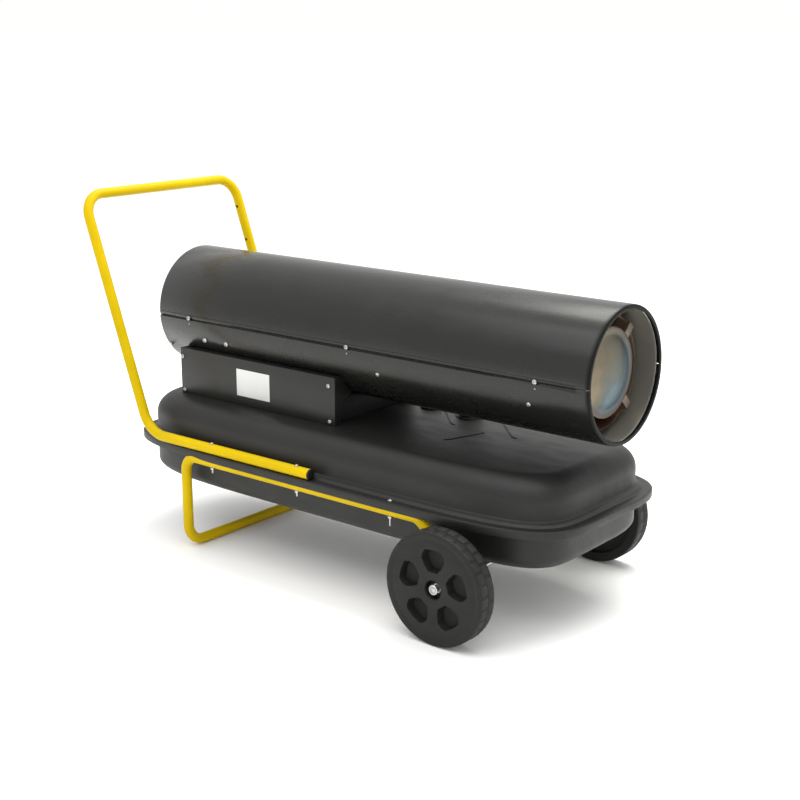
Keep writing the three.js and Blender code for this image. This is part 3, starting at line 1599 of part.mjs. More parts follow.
// The thermostat: its body behind the left cover, its knob in front
function addThermostat() {
  const z = housingFloorZ + thermostat.height;
  const half = thermostat.bodyWidth / 2;
  const bodyOuterY = coverInnerY - seatGap;
  const bodyInnerY = bodyOuterY - thermostat.bodyDepth;
  const body = block(
    [thermostat.x - half, bodyInnerY, z - half],
    [thermostat.x + half, bodyOuterY, z + half],
  );
  const shaftHole = rod(
    thermostat.shaftRadius + seatGap,
    [thermostat.x, bodyInnerY + thermostat.bodyDepth / 2, z],
    [thermostat.x, bodyOuterY + cutOverrun, z],
  );
  addPiece("thermostat_body", cut(body, shaftHole), finishes.blackPlastic);

  const skirtY = housingHalfWidth + seatGap;
  const shaftInner = -(seatGap + housing.sheet + thermostat.bodyDepth / 2);
  const knob = join(
    turned(
      [
        [0, 0],
        [thermostat.skirtRadius, 0],
        [thermostat.skirtRadius, thermostat.skirtDepth],
        [thermostat.knobRadius, thermostat.skirtDepth],
        [thermostat.knobRadius, thermostat.knobDepth],
        [0, thermostat.knobDepth],
      ],
      unitY,
      [0, 0, 0],
    ),
    rod(thermostat.shaftRadius, [0, shaftInner, 0], [0, thermostat.skirtDepth / 2, 0]),
    block(
      [-thermostat.ribWidth / 2, thermostat.knobDepth / 2, -thermostat.knobRadius],
      [thermostat.ribWidth / 2, thermostat.knobDepth + thermostat.ribHeight, thermostat.knobRadius],
    ),
  );
  addPiece("thermostat_knob", knob, finishes.blackPlastic).position.set(thermostat.x, skirtY, z);
}

// The power switch: a framed body in the left cover with a rocker on a pin
function addPowerSwitch() {
  const z = housingFloorZ + powerSwitch.height;
  const halfLength = powerSwitch.length / 2;
  const halfWidth = powerSwitch.width / 2;
  const seatY = housingHalfWidth + seatGap;
  const frontY = seatY + powerSwitch.bezelThickness;
  const backY = frontY - powerSwitch.depth;
  const frame = join(
    block([-halfLength, backY, -halfWidth], [halfLength, frontY, halfWidth]),
    block(
      [-halfLength - powerSwitch.bezel, seatY, -halfWidth - powerSwitch.bezel],
      [halfLength + powerSwitch.bezel, frontY, halfWidth + powerSwitch.bezel],
    ),
  );
  const innerLength = halfLength - powerSwitch.wall;
  const innerWidth = halfWidth - powerSwitch.wall;
  const pinY = frontY - powerSwitch.rockerDepth / 2;
  const well = block(
    [-innerLength, frontY - powerSwitch.rockerDepth - powerSwitch.wellExtraDepth, -innerWidth],
    [innerLength, frontY + cutOverrun, innerWidth],
  );
  const pinEnd = innerWidth + powerSwitch.wall / 2;
  const pinBore = rod(powerSwitch.pinRadius + seatGap, [0, pinY, -pinEnd], [0, pinY, pinEnd]);
  const body = cut(frame, well, pinBore);
  addPiece("power_switch", body, finishes.blackPlastic).position.set(powerSwitch.x, 0, z);

  const rockerLength = innerLength - powerSwitch.rockerPlay;
  const rockerWidth = innerWidth - seatGap;
  const middleDepth = powerSwitch.rockerDepth / 2;
  const endDepth = middleDepth - powerSwitch.rockerTaper;
  const endRise = middleDepth + powerSwitch.rockerDish;
  const outline = new THREE.Shape(
    [
      [-rockerLength, -endDepth],
      [0, -middleDepth],
      [rockerLength, -endDepth],
      [rockerLength, endRise],
      [0, middleDepth],
      [-rockerLength, endRise],
    ].map(([x, y]) => new THREE.Vector2(x, y)),
  );
  const rocker = join(
    new THREE.ExtrudeGeometry(outline, { depth: 2 * rockerWidth, bevelEnabled: false }).translate(
      0,
      0,
      -rockerWidth,
    ),
    rod(powerSwitch.pinRadius, [0, 0, seatGap - pinEnd], [0, 0, pinEnd - seatGap]),
  );
  const rockerMesh = addPiece("switch_rocker", rocker, finishes.redPlastic);
  rockerMesh.rotation.z = -powerSwitch.offAngle;
  rockerMesh.position.set(powerSwitch.x, pinY, z);
}

// The gland where the mains cord enters the left cover
function addCordGland() {
  const gland = turned(
    [
      [cordGland.boreRadius, -cordGland.tail],
      [cordGland.radius, -cordGland.tail],
      [cordGland.radius, seatGap],
      [cordGland.flangeRadius, seatGap],
      [cordGland.flangeRadius, seatGap + cordGland.flangeThickness],
      [cordGland.noseRadius, seatGap + cordGland.flangeThickness],
      [cordGland.noseRadius, seatGap + cordGland.flangeThickness + cordGland.noseLength],
      [cordGland.boreRadius, seatGap + cordGland.flangeThickness + cordGland.noseLength],
    ],
    unitY,
    [cordGland.x, housingHalfWidth, housingFloorZ + cordGland.height],
    smallSides,
  );
  addPiece("cord_gland", gland, finishes.blackPlastic);
}

addTank();
addFiller();
addFuelGauge();
addFuelFittings();
addHandle();
addLeg();
addFrameBolts();
addRunningGear();
addShell();
const chamberHeadX = addChamber();
addFlameDisc();
addBurner(chamberHeadX);
addMotor();
addRotor();
addAirPump();
addGuard();
addHousing();
addSideCovers();
addElectrics();
addThermostat();
addPowerSwitch();
addCordGland();

// The origin: on the floor, under the middle of the box round the heater
const bounds = new THREE.Box3().setFromObject(heater, true);
heater.position.x = -(bounds.min.x + bounds.max.x) / 2;

const part = new THREE.Group();
part.add(heater);

export default part;
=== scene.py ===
"""Looks of a wheeled diesel air heater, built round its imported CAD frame."""
import json
from math import asin, copysign, cos, pi, radians, sin, sqrt, tan

import bmesh
import bpy
from mathutils import Matrix, Vector


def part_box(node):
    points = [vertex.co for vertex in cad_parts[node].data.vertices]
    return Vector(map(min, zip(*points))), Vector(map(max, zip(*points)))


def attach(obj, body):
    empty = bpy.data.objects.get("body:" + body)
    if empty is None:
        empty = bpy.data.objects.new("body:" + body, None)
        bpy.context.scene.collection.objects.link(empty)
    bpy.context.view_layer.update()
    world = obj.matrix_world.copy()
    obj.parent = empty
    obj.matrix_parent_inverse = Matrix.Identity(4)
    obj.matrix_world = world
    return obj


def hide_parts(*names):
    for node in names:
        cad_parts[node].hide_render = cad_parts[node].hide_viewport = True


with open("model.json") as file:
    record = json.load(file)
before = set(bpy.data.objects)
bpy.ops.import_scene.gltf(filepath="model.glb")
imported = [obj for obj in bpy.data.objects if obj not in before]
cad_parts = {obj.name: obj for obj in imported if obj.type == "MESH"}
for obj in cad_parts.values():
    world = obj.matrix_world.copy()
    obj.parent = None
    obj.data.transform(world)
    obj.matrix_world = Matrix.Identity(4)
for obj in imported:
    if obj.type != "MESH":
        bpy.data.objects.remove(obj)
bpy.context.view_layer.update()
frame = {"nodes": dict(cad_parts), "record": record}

# Lengths below are in millimetres, along X from the axle, as in the part's own source
MM = 0.001
AXLE_X = sum(corner.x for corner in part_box("axle")) / 2

X_AXIS = Vector((1, 0, 0))
Y_AXIS = Vector((0, 1, 0))
Z_AXIS = Vector((0, 0, 1))

BODY = "heater_body"
SIDES = (("right", -1), ("left", 1))
BODY_OF = {
    node: body for body, nodes in frame["record"]["behaviour"]["bodies"].items() for node in nodes
}
SLOT_OF = {part["node"]: part["material_slot"] for part in frame["record"]["subparts"]}

SEAT_GAP = 0.3
SEAM_Z = 203.0
TANK_TOP_Z = 284.0
TANK_BOTTOM_Z = 112.0
SHELL_Z = 442.0
SHELL_RADIUS = 119.0
SHELL_REAR_X = -811.0
SHELL_FRONT_X = 193.0
MOTOR_REAR_X = -735.0
TUBE_Y = 205.0
TUBE_RADIUS = 10.0
HANDLE_Z = 217.0
LEG_Z = 190.5
HOUSING_HALF_WIDTH = 118.0


def at(x, y, z):
    """A place in the scene, in metres, from the part's own millimetres."""
    return Vector((AXLE_X + x * MM, y * MM, z * MM))


def new_object(name, data):
    made = bpy.data.objects.new(name, data)
    bpy.context.scene.collection.objects.link(made)
    return made


# Materials: noise scales are in repeats per metre, and bump depths in metres
CLOUD_SCALE = 7.0
DRIFT_SCALE = 14.0
SMEAR_SCALE = 16.0
STAIN_SCALE = 38.0
PATCH_SCALE = 60.0
SPECK_SCALE = 90.0
RIPPLE_SCALE = 140.0
STEEL_GRAIN_SCALE = 700.0
WORN_EDGE_RADIUS = 0.0009
SOOT = (0.05, 0.04, 0.03)
# Painted shade: the low sheen that the shell's rolled mouth fades to
PAINTED_SHADE_SHEEN = 0.06


class Finish:
    """A material whose shader is fed by nodes. Any input is a plain value or another node's output."""

    def __init__(self, name):
        self.material = bpy.data.materials.new(name)
        self.material.use_nodes = True
        self.tree = self.material.node_tree
        self.place = self.node("TexCoord").outputs["Object"]

    def feed(self, socket, value):
        if isinstance(value, bpy.types.NodeSocket):
            self.tree.links.new(value, socket)
        elif value is not None:
            socket.default_value = value

    def node(self, kind, inputs=None, **settings):
        made = self.tree.nodes.new("ShaderNode" + kind)
        for name, value in settings.items():
            setattr(made, name, value)
        for name, value in (inputs or {}).items():
            self.feed(made.inputs[name], value)
        return made

    def shade(self, inputs):
        for name, value in inputs.items():
            self.feed(self.tree.nodes["Principled BSDF"].inputs[name], value)
        return self.material

    def noise(self, scale, detail=2.0, stretch=None):
        place = self.place
        if stretch:
            place = self.node("Mapping", {"Vector": place, "Scale": stretch}).outputs["Vector"]
        return self.node("TexNoise", {"Vector": place, "Scale": scale, "Detail": detail}).outputs["Fac"]

    def remap(self, value, low, high, from_low=0.3, from_high=0.7):
        ends = {"From Min": from_low, "From Max": from_high, "To Min": low, "To Max": high}
        return self.node("MapRange", {"Value": value, **ends}).outputs["Result"]

    def maths(self, operation, first, second):
        return self.node("Math", {0: first, 1: second}, operation=operation).outputs["Value"]

    def vector(self, operation, first, second=None, output="Vector"):
        return self.node("VectorMath", {0: first, 1: second}, operation=operation).outputs[output]

    def mix(self, factor, first, second):
        node = self.node("Mix", {"Factor": factor}, data_type="RGBA")
        sockets = [s for s in node.inputs if s.type == "RGBA"]
        for socket, colour in zip(sockets, (first, second)):
            self.feed(socket, (*colour, 1.0) if isinstance(colour, tuple) else colour)
        return next(s for s in node.outputs if s.type == "RGBA")

    def bump(self, *heights):
        """Bump from (height, strength, distance in metres), one over the other."""
        normal = None
        for height, strength, distance in heights:
            inputs = {"Height": height, "Strength": strength, "Distance": distance, "Normal": normal}
            normal = self.node("Bump", inputs).outputs["Normal"]
        return normal

    def edge_share(self):
        """1 on a worn edge and 0 on a flat or softly curved face, from a rounded normal."""
        rounded = self.node("Bevel", {"Radius": WORN_EDGE_RADIUS}, samples=4).outputs["Normal"]
        straight = self.node("NewGeometry").outputs["Normal"]
        agree = self.vector("DOT_PRODUCT", rounded, straight, "Value")
        return self.remap(agree, 1.0, 0.0, 0.8, 0.98)


def coated(
    name, colour, worn, roughness, grain=900.0, grain_depth=0.00012, specular=0.5, metallic=0.0,
    ripple_depth=0.0002, painted_shade_ends=None,
):
    """Paint or moulded plastic: an even colour with faint cloudiness, grain and rubbed edges.

    Between the two places along X given in millimetres, its sheen fades low: painted shade."""
    finish = Finish(name)
    lighter = tuple(min(1.0, part * 1.12 + 0.001) for part in colour)
    darker = tuple(part * 0.9 for part in colour)
    base = finish.mix(finish.remap(finish.noise(CLOUD_SCALE, 4.0), 0.0, 1.0), darker, lighter)
    patches = finish.remap(finish.noise(PATCH_SCALE, 5.0), 0.0, 0.45, 0.45, 0.7)
    rubbed = finish.maths("MULTIPLY", finish.edge_share(), patches)
    smears = finish.noise(SMEAR_SCALE, 5.0, stretch=(1.0, 3.0, 3.0))
    # Painted shade: the sheen fades low along X
    if painted_shade_ends:
        along = finish.node("SeparateXYZ", {0: finish.place}).outputs["X"]
        specular = finish.remap(along, specular, PAINTED_SHADE_SHEEN, *(at(x, 0, 0).x for x in painted_shade_ends))
    return finish.shade({
        "Base Color": finish.mix(rubbed, base, worn),
        "Roughness": finish.remap(smears, roughness - 0.04, roughness + 0.05),
        "Metallic": metallic,
        "Specular IOR Level": specular,
        "Normal": finish.bump(
            (finish.noise(RIPPLE_SCALE), 0.12, ripple_depth), (finish.noise(grain, 3.0), 0.35, grain_depth)
        ),
    })


def metal(name, colour, roughness, streak=(1.0, 1.0, 1.0), tone=0.25, scale=420.0):
    """Plated, turned or brushed metal with streaks and stains."""
    finish = Finish(name)
    darker = tuple(part * (1.0 - tone) for part in colour)
    lines = finish.noise(scale, 4.0, stretch=streak)
    return finish.shade({
        "Base Color": finish.mix(finish.remap(finish.noise(STAIN_SCALE, 6.0), 0.0, 1.0), darker, colour),
        "Roughness": finish.remap(lines, roughness - 0.08, roughness + 0.12),
        "Metallic": 1.0,
        "Normal": finish.bump((lines, 0.2, 0.00006)),
    })


def heat_tinted(name, stops, roughness, centre, across, spread, rings=()):
    """Steel with the colours that heat leaves in soft bands across a direction, and with rings of colour
    about X, one of which on the disc is a painted highlight.
    """
    finish = Finish(name)
    offset = finish.vector("SUBTRACT", finish.place, centre)
    along = finish.vector("DOT_PRODUCT", offset, Vector(across).normalized() / spread, "Value")
    drift = finish.remap(finish.noise(DRIFT_SCALE, 4.0), -0.28, 0.28)
    share = finish.remap(finish.maths("ADD", along, drift), 0.0, 1.0, -1.0, 1.0)
    ramp = finish.node("ValToRGB", {"Fac": share})
    ramp.color_ramp.interpolation = "EASE"
    elements = ramp.color_ramp.elements
    while len(elements) < len(stops):
        elements.new(0.5)
    for element, (position, colour) in zip(elements, stops):
        element.position = position
        element.color = (*colour, 1.0)
    tinted = ramp.outputs["Color"]
    reach = finish.vector("LENGTH", finish.vector("MULTIPLY", offset, (0.0, 1.0, 1.0)), None, "Value")
    # Rings of colour about X; on the disc the thin outer ring is a painted highlight
    for ring_start, ring_end, colour in rings:
        share = finish.remap(reach, 0.0, 1.0, ring_start * MM, ring_end * MM)
        tinted = finish.mix(share, tinted, colour)
    specks = finish.noise(SPECK_SCALE, 6.0)
    grain = finish.noise(STEEL_GRAIN_SCALE, 3.0)
    return finish.shade({
        "Base Color": finish.mix(finish.remap(specks, 0.0, 0.14, 0.5, 0.8), tinted, SOOT),
        "Roughness": finish.remap(grain, roughness - 0.06, roughness + 0.1),
        "Metallic": 0.85,
        "Normal": finish.bump((specks, 0.1, 0.0004), (grain, 0.15, 0.00005)),
    })


RUBBED_STEEL = (0.06, 0.058, 0.055)
# The shell's sheen fades low over its rolled mouth, painted shade there
shell_paint = coated(
    "black_shell_enamel", (0.007, 0.007, 0.0065), RUBBED_STEEL, 0.26, grain_depth=0.00001,
    specular=0.4, ripple_depth=0.00002, painted_shade_ends=(SHELL_FRONT_X - 9.0, SHELL_FRONT_X - 1.5),
)
# Painted shade: the housing under the shell is a darker, duller copy of the black paint
shaded_housing_paint = coated("black_housing_painted_shade", (0.005, 0.005, 0.005), RUBBED_STEEL, 0.5, specular=0.18)
tank_paint = coated("black_tank_powder_coat", (0.009, 0.009, 0.0085), RUBBED_STEEL, 0.48, specular=0.35)
tread_rubber = coated(
    "tread_rubber", (0.009, 0.009, 0.0075), (0.03, 0.028, 0.024), 0.68, grain=600.0,
    grain_depth=0.0003, specular=0.4,
)
# Painted shade: the filler neck's zinc is darkened to a dull grey, as it stands in shade under the shell
shaded_neck_zinc = metal("neck_zinc_painted_shade", (0.1, 0.1, 0.098), 0.5)
dial_print = coated("dial_print", (0.01, 0.01, 0.01), (0.02, 0.02, 0.02), 0.5)
DISC_STOPS = (
    (0.0, (0.215, 0.165, 0.12)),
    (0.24, (0.215, 0.175, 0.12)),
    (0.42, (0.142, 0.136, 0.102)),
    (0.56, (0.105, 0.125, 0.125)),
    (0.72, (0.13, 0.185, 0.22)),
    (0.88, (0.145, 0.185, 0.205)),
    (1.0, (0.17, 0.155, 0.10)),
)
# Rings about the disc's middle: a darker band over its flat rim, and a thin light ring at its edge that is
# a painted highlight
DISC_TINT_AND_HIGHLIGHT_RINGS = ((62.5, 75.6, (0.135, 0.11, 0.088)), (76.0, 77.4, (0.36, 0.30, 0.25)))
disc_steel = heat_tinted(
    "disc_heat_tint_and_highlight", DISC_STOPS, 0.42, at(165, 0, SHELL_Z), (0.0, 0.75, -0.45), 0.085, DISC_TINT_AND_HIGHLIGHT_RINGS
)
CHAMBER_STOPS = (
    (0.0, (0.10, 0.05, 0.035)),
    (0.35, (0.26, 0.15, 0.09)),
    (0.65, (0.19, 0.14, 0.11)),
    (1.0, (0.30, 0.23, 0.16)),
)

# The finish of each slot, for every piece that isn't given another
SLOT_FINISHES = {
    "black_paint": coated(
        "black_cover_paint", (0.0085, 0.0085, 0.008), RUBBED_STEEL, 0.38, specular=0.45
    ),
    "yellow_paint": coated(
        "yellow_powder_coat", (0.54, 0.375, 0.0), (0.78, 0.56, 0.06), 0.36, grain=500.0, specular=0.08
    ),
    "white_plate": coated(
        "white_plate_print", (0.63, 0.63, 0.62), (0.6, 0.6, 0.58), 0.42, grain=1400.0
    ),
    "wheel_plastic": coated(
        "moulded_wheel_plastic", (0.006, 0.006, 0.0055), (0.02, 0.02, 0.018), 0.6, grain=420.0,
        grain_depth=0.0002, specular=0.3,
    ),
    "liner_steel": coated(
        "liner_coating", (0.56, 0.55, 0.48), (0.5, 0.48, 0.44), 0.34, grain=700.0, metallic=0.8
    ),
    "black_plastic": coated(
        "black_plastic", (0.006, 0.006, 0.006), (0.02, 0.02, 0.02), 0.46, specular=0.32
    ),
    "red_plastic": coated("red_plastic", (0.42, 0.018, 0.012), (0.6, 0.1, 0.08), 0.25),
    "board_green": coated("circuit_board", (0.02, 0.11, 0.04), (0.2, 0.25, 0.1), 0.4, grain=1500.0),
    "ceramic": coated("glazed_ceramic", (0.76, 0.72, 0.62), (0.5, 0.45, 0.4), 0.25),
    "zinc": metal("zinc_plate", (0.52, 0.52, 0.5), 0.3),
    "stainless": metal("stainless_mesh", (0.55, 0.55, 0.53), 0.34, streak=(1.0, 1.0, 6.0)),
    "aluminium": metal("cast_aluminium", (0.6, 0.61, 0.62), 0.42, scale=260.0),
    "brass": metal("brass", (0.72, 0.5, 0.2), 0.28),
    "copper": metal("copper_tube", (0.7, 0.33, 0.18), 0.3),
    "heated_steel": heat_tinted(
        "chamber_heat_tint", CHAMBER_STOPS, 0.5, at(100, 0, SHELL_Z), (0.2, 0.3, 0.9), 0.12
    ),
}


# Mesh helpers: a shape is in metres, a profile or a radius in millimetres
WELD_DISTANCE = 0.000005
FLAT_ANGLE = radians(0.6)
BEVELLED_ANGLE = radians(30)
CARVED_SMOOTH = radians(35)


class Shape:
    """Vertices and faces that grow piece by piece."""

    def __init__(self):
        self.points = []
        self.faces = []

    def add(self, points, faces):
        start = len(self.points)
        self.points += [Vector(p) for p in points]
        self.faces += [tuple(start + i for i in face) for face in faces]
        return self

    def join(self, other):
        return self.add(other.points, other.faces)

    def moved(self, matrix):
        return Shape().add([matrix @ p for p in self.points], self.faces)

    def mesh(self, name):
        made = bpy.data.meshes.new(name)
        made.from_pydata([tuple(p) for p in self.points], [], self.faces)
        return made


def ring_faces(count, rows, lids=True):
    """Faces of a tube: rows of closed rings of points, with a lid on each end if asked."""
    last = (rows - 1) * count
    faces = [tuple(range(count)), tuple(range(last, last + count))] if lids else []
    for start in range(0, last, count):
        for i in range(count):
            a, b = start + i, start + (i + 1) % count
            faces.append((a, b, b + count, a + count))
    return faces


def sheet_faces(rows, columns):
    """Faces of a thin sheet: a grid of points on each side, and the edge between them."""
    size = rows * columns
    across = [i * columns + j for i in range(rows - 1) for j in range(columns - 1)]
    faces = [
        (start + a, start + a + 1, start + a + columns + 1, start + a + columns)
        for start in (0, size) for a in across
    ]
    sides = [(i * columns + j, columns) for i in range(rows - 1) for j in (0, columns - 1)]
    ends = [(i * columns + j, 1) for j in range(columns - 1) for i in (0, rows - 1)]
    faces += [(a, a + step, size + a + step, size + a) for a, step in sides + ends]
    return faces


def turn_to(axis):
    """The rotation that takes +Z to an axis."""
    return Vector(axis).normalized().to_track_quat("Z", "Y").to_matrix().to_4x4()


def lobes(count, share):
    """A swell of 1 on each of some evenly spaced ribs, which fill a share of the way round."""
    def swell(angle):
        distance = abs((angle * count / (2 * pi) + 0.5) % 1.0 - 0.5) * 2
        return max(0.0, min(1.0, (share * 1.25 - distance) / (share * 0.5)))
    return swell


def turned(profile, axis, place, sides, closed=True, swell=None):
    """A ring or disc about an axis, from (radius, distance) pairs in millimetres.

    A third number is how far the swell lifts that ring."""
    rings = []
    points = []
    for radius, along, *lift in profile:
        start = len(points)
        if radius == 0:
            rings.append([start])
            points.append((0, 0, along * MM))
            continue
        rings.append(list(range(start, start + sides)))
        for i in range(sides):
            angle = 2 * pi * i / sides
            reach = radius + (lift[0] * swell(angle) if lift else 0.0)
            points.append((reach * MM * cos(angle), reach * MM * sin(angle), along * MM))
    pairs = list(zip(rings, rings[1:]))
    if closed and profile[0][0] != 0:
        pairs.append((rings[-1], rings[0]))
    faces = []
    for low, high in pairs:
        for i in range(sides if len(low) + len(high) > 2 else 0):
            j = (i + 1) % sides
            corners = [ring[k % len(ring)] for ring, k in ((low, i), (low, j), (high, j), (high, i))]
            faces.append(tuple(dict.fromkeys(corners)))
    return Shape().add(points, faces).moved(Matrix.Translation(place) @ turn_to(axis))


def swept(path, radius, sides, bore=None):
    """A bar or tube along a list of places in metres."""
    path = [Vector(p) for p in path]
    count = len(path)
    tangents = [
        (path[min(i + 1, count - 1)] - path[max(i - 1, 0)]).normalized() for i in range(count)
    ]
    side = tangents[0].orthogonal().normalized()
    frames = []
    for i, tangent in enumerate(tangents):
        if i:
            side = tangents[i - 1].rotation_difference(tangent) @ side
        frames.append((side.copy(), tangent.cross(side)))
    made = Shape()
    turns = [2 * pi * i / sides for i in range(sides)]
    for layer in (radius,) if bore is None else (radius, bore):
        points = [
            place + (across * cos(turn) + up * sin(turn)) * layer * MM
            for place, (across, up) in zip(path, frames) for turn in turns
        ]
        made.add(points, ring_faces(sides, count, lids=bore is None))
    if bore is not None:
        size = count * sides
        for start in (0, size - sides):
            for i in range(sides):
                a, b = start + i, start + (i + 1) % sides
                made.faces.append((a, b, size + b, size + a))
    return made


def about_shell_axis(shape, x, angle):
    """A copy, moved to a place along the shell's axis and turned about it."""
    return shape.moved(Matrix.Translation(at(x, 0, SHELL_Z)) @ Matrix.Rotation(angle, 4, "X"))


def bent(corners, bends, steps=14):
    """Places along straight runs joined by round bends, corners in metres, bends in millimetres."""
    corners = [Vector(c) for c in corners]
    places = [corners[0]]
    for before, corner, after, radius in zip(corners, corners[1:], corners[2:], bends):
        inward = (corner - before).normalized()
        outward = (after - corner).normalized()
        angle = inward.angle(outward)
        side = (outward - inward * outward.dot(inward)).normalized()
        start = corner - inward * radius * MM * tan(angle / 2)
        for step in range(steps + 1):
            turn = angle * step / steps
            along = inward * sin(turn) + side * (1 - cos(turn))
            places.append(start + along * radius * MM)
    places.append(corners[-1])
    return places


def box_shape(low, high):
    (x0, y0, z0), (x1, y1, z1) = low, high
    points = [(x, y, z) for x in (x0, x1) for y in (y0, y1) for z in (z0, z1)]
    faces = [(0, 1, 3, 2), (4, 6, 7, 5), (0, 4, 5, 1), (2, 3, 7, 6), (0, 2, 6, 4), (1, 5, 7, 3)]
    return Shape().add(points, faces)


def finish_mesh(
    name, mesh, node=None, slot=None, body=BODY, finish=None, smooth=38.0, bevel=0.0, segments=2,
):
    """Welds, bevels and smooths a mesh. One that stands for a CAD node has its body and slot."""
    if node:
        slot, body = SLOT_OF[node], BODY_OF[node]
    bm = bmesh.new()
    bm.from_mesh(mesh)
    bmesh.ops.remove_doubles(bm, verts=bm.verts, dist=WELD_DISTANCE)
    if bevel:
        bmesh.ops.dissolve_limit(
            bm, angle_limit=FLAT_ANGLE, verts=bm.verts, edges=bm.edges, delimit={"SEAM"}
        )
        sharp = [e for e in bm.edges if e.is_manifold and e.calc_face_angle(0.0) > BEVELLED_ANGLE]
        bmesh.ops.bevel(
            bm, geom=sharp, offset=bevel * MM, segments=segments, profile=0.5,
            affect="EDGES", clamp_overlap=True,
        )
    bmesh.ops.recalc_face_normals(bm, faces=bm.faces)
    bm.to_mesh(mesh)
    bm.free()
    mesh.shade_smooth()
    mesh.set_sharp_from_angle(angle=radians(smooth))
    mesh.materials.clear()
    mesh.materials.append(finish or SLOT_FINISHES[slot])
    made = new_object(name, mesh)
    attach(made, body)
    if node:
        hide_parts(node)
    return made


def piece(name, shape, node=None, **looks):
    """A finished object from a shape."""
    return finish_mesh(name, shape.mesh(name), node, **looks)


def softened(node, name, **looks):
    """A CAD solid with its edges rounded, which stands for it."""
    mesh = frame["nodes"][node].data.copy()
    mesh.name = name
    finish_mesh(name, mesh, node, **looks)


def carve(target, cutters):
    """Cuts shapes out of an object, for good."""
    whole = Shape()
    for cutter in cutters:
        whole.join(cutter)
    tool = new_object("cutter", whole.mesh("cutter"))
    bm = bmesh.new()
    bm.from_mesh(tool.data)
    bmesh.ops.recalc_face_normals(bm, faces=bm.faces)
    bm.to_mesh(tool.data)
    bm.free()
    boolean = target.modifiers.new("carve", "BOOLEAN")
    boolean.operation = "DIFFERENCE"
    boolean.solver = "EXACT"
    boolean.object = tool
    bpy.context.view_layer.update()
    ready = target.evaluated_get(bpy.context.evaluated_depsgraph_get())
    result = bpy.data.meshes.new_from_object(ready)
    target.modifiers.clear()
    target.data = result
    result.shade_smooth()
    result.set_sharp_from_angle(angle=CARVED_SMOOTH)
    bpy.data.objects.remove(tool)


# The tank: two pressed halves with a rim between them
TANK_LENGTH = 980.0
TANK_WIDTH = 372.0
TANK_MIDDLE_X = -333.5
WALL_CORNER_POWER = 5.8
RIM_CORNER_POWER = 5.0
TANK_STEPS = 240
SHEET = 1.5
RIM_WIDTH = 29.0


def tank_outline(inset):
    """The plan of the tank, a little squarer at its walls than at the edge of the rim."""
    rimward = min(1.0, max(0.0, -inset / RIM_WIDTH))
    power = 2 / (WALL_CORNER_POWER + (RIM_CORNER_POWER - WALL_CORNER_POWER) * rimward)
    points = []
    for step in range(TANK_STEPS):
        turn = 2 * pi * step / TANK_STEPS
        along = copysign(abs(cos(turn)) ** power, cos(turn))
        across = copysign(abs(sin(turn)) ** power, sin(turn))
        x = TANK_MIDDLE_X + (TANK_LENGTH / 2 - inset) * along
        y = (TANK_WIDTH / 2 - inset) * across
        points.append((x, y))
    return points


def shoulder_rings(run, rise, panel_z, towards, sheet, steps=12):
    rings = []
    for step in range(steps + 1):
        turn = (pi / 2) * step / steps
        inset = run - (run - sheet) * sin(turn)
        rings.append((inset, panel_z + towards * (sheet + (rise - sheet) * (1 - cos(turn)))))
    return rings


GROOVES = (
    ((-262, 102), (-236, 75), (-203, 40), (-196, 34), (-184, 32)),
    ((-128, 102), (-102, 76), (-64, 38), (-56, 31), (-44, 29)),
    ((-137, -57), (-130, -48), (-111, 12), (-110, 20)),
)
GROOVE_HALF_WIDTH = 3.7
GROOVE_DEPTH = 2.7
GRID_LOW = (-276.0, -70.0)
GRID_HIGH = (-36.0, 112.0)
GRID_STEP = 2.0


def distance_to_run(point, start, end):
    run = end - start
    share = max(0.0, min(1.0, (point - start).dot(run) / run.length_squared))
    return (point - start - run * share).length


def groove_depth(x, y):
    point = Vector((x, y))
    nearest = min(
        distance_to_run(point, Vector(a), Vector(b))
        for groove in GROOVES
        for a, b in zip(groove, groove[1:])
    )
    if nearest >= GROOVE_HALF_WIDTH:
        return 0.0
    return GROOVE_DEPTH * (0.5 + 0.5 * cos(pi * nearest / GROOVE_HALF_WIDTH))


def panel_with_grooves(bm, border, z):
    """Fills the flat roof, with a fine grid where the pressed grooves run."""
    columns, rows = (round((high - low) / GRID_STEP) + 1 for low, high in zip(GRID_LOW, GRID_HIGH))
    grid = []
    for row in range(rows):
        y = GRID_LOW[1] + row * GRID_STEP
        places = [(GRID_LOW[0] + column * GRID_STEP, y) for column in range(columns)]
        grid.append([bm.verts.new(at(x, y, z - groove_depth(x, y))) for x, y in places])
    for near, far in zip(grid, grid[1:]):
        for column in range(columns - 1):
            bm.faces.new((near[column], near[column + 1], far[column + 1], far[column]))
    outside = grid[0] + [line[-1] for line in grid[1:]]
    outside += grid[-1][-2::-1] + [line[0] for line in grid[-2:0:-1]]
    edges = [
        bm.edges.get((a, b)) for loop in (outside, border) for a, b in zip(loop, loop[1:] + loop[:1])
    ]
    bmesh.ops.triangle_fill(bm, use_beauty=True, use_dissolve=False, edges=edges)


def tank_half(name, node, rings, grooved):
    """One half from closed bands between outlines at (inset, height)."""
    bm = bmesh.new()
    verts = [bm.verts.new(at(x, y, z)) for inset, z in rings for x, y in tank_outline(inset)]
    for face in ring_faces(TANK_STEPS, len(rings), lids=False):
        bm.faces.new([verts[i] for i in face])
    panel = verts[:TANK_STEPS]
    if grooved:
        panel_with_grooves(bm, panel, rings[0][1])
    else:
        bm.faces.new(panel)
    bm.faces.new(verts[-TANK_STEPS:])
    mesh = bpy.data.meshes.new(name)
    bm.to_mesh(mesh)
    bm.free()
    finish_mesh(name, mesh, node, finish=tank_paint, smooth=30.0)


RIM_FLAT_Z = SEAM_Z + SEAT_GAP + 2.5
HEM_LOW_Z = 192.6
UPPER_RUN, UPPER_RISE = 40, 42
LOWER_RUN, LOWER_RISE = 80, 36
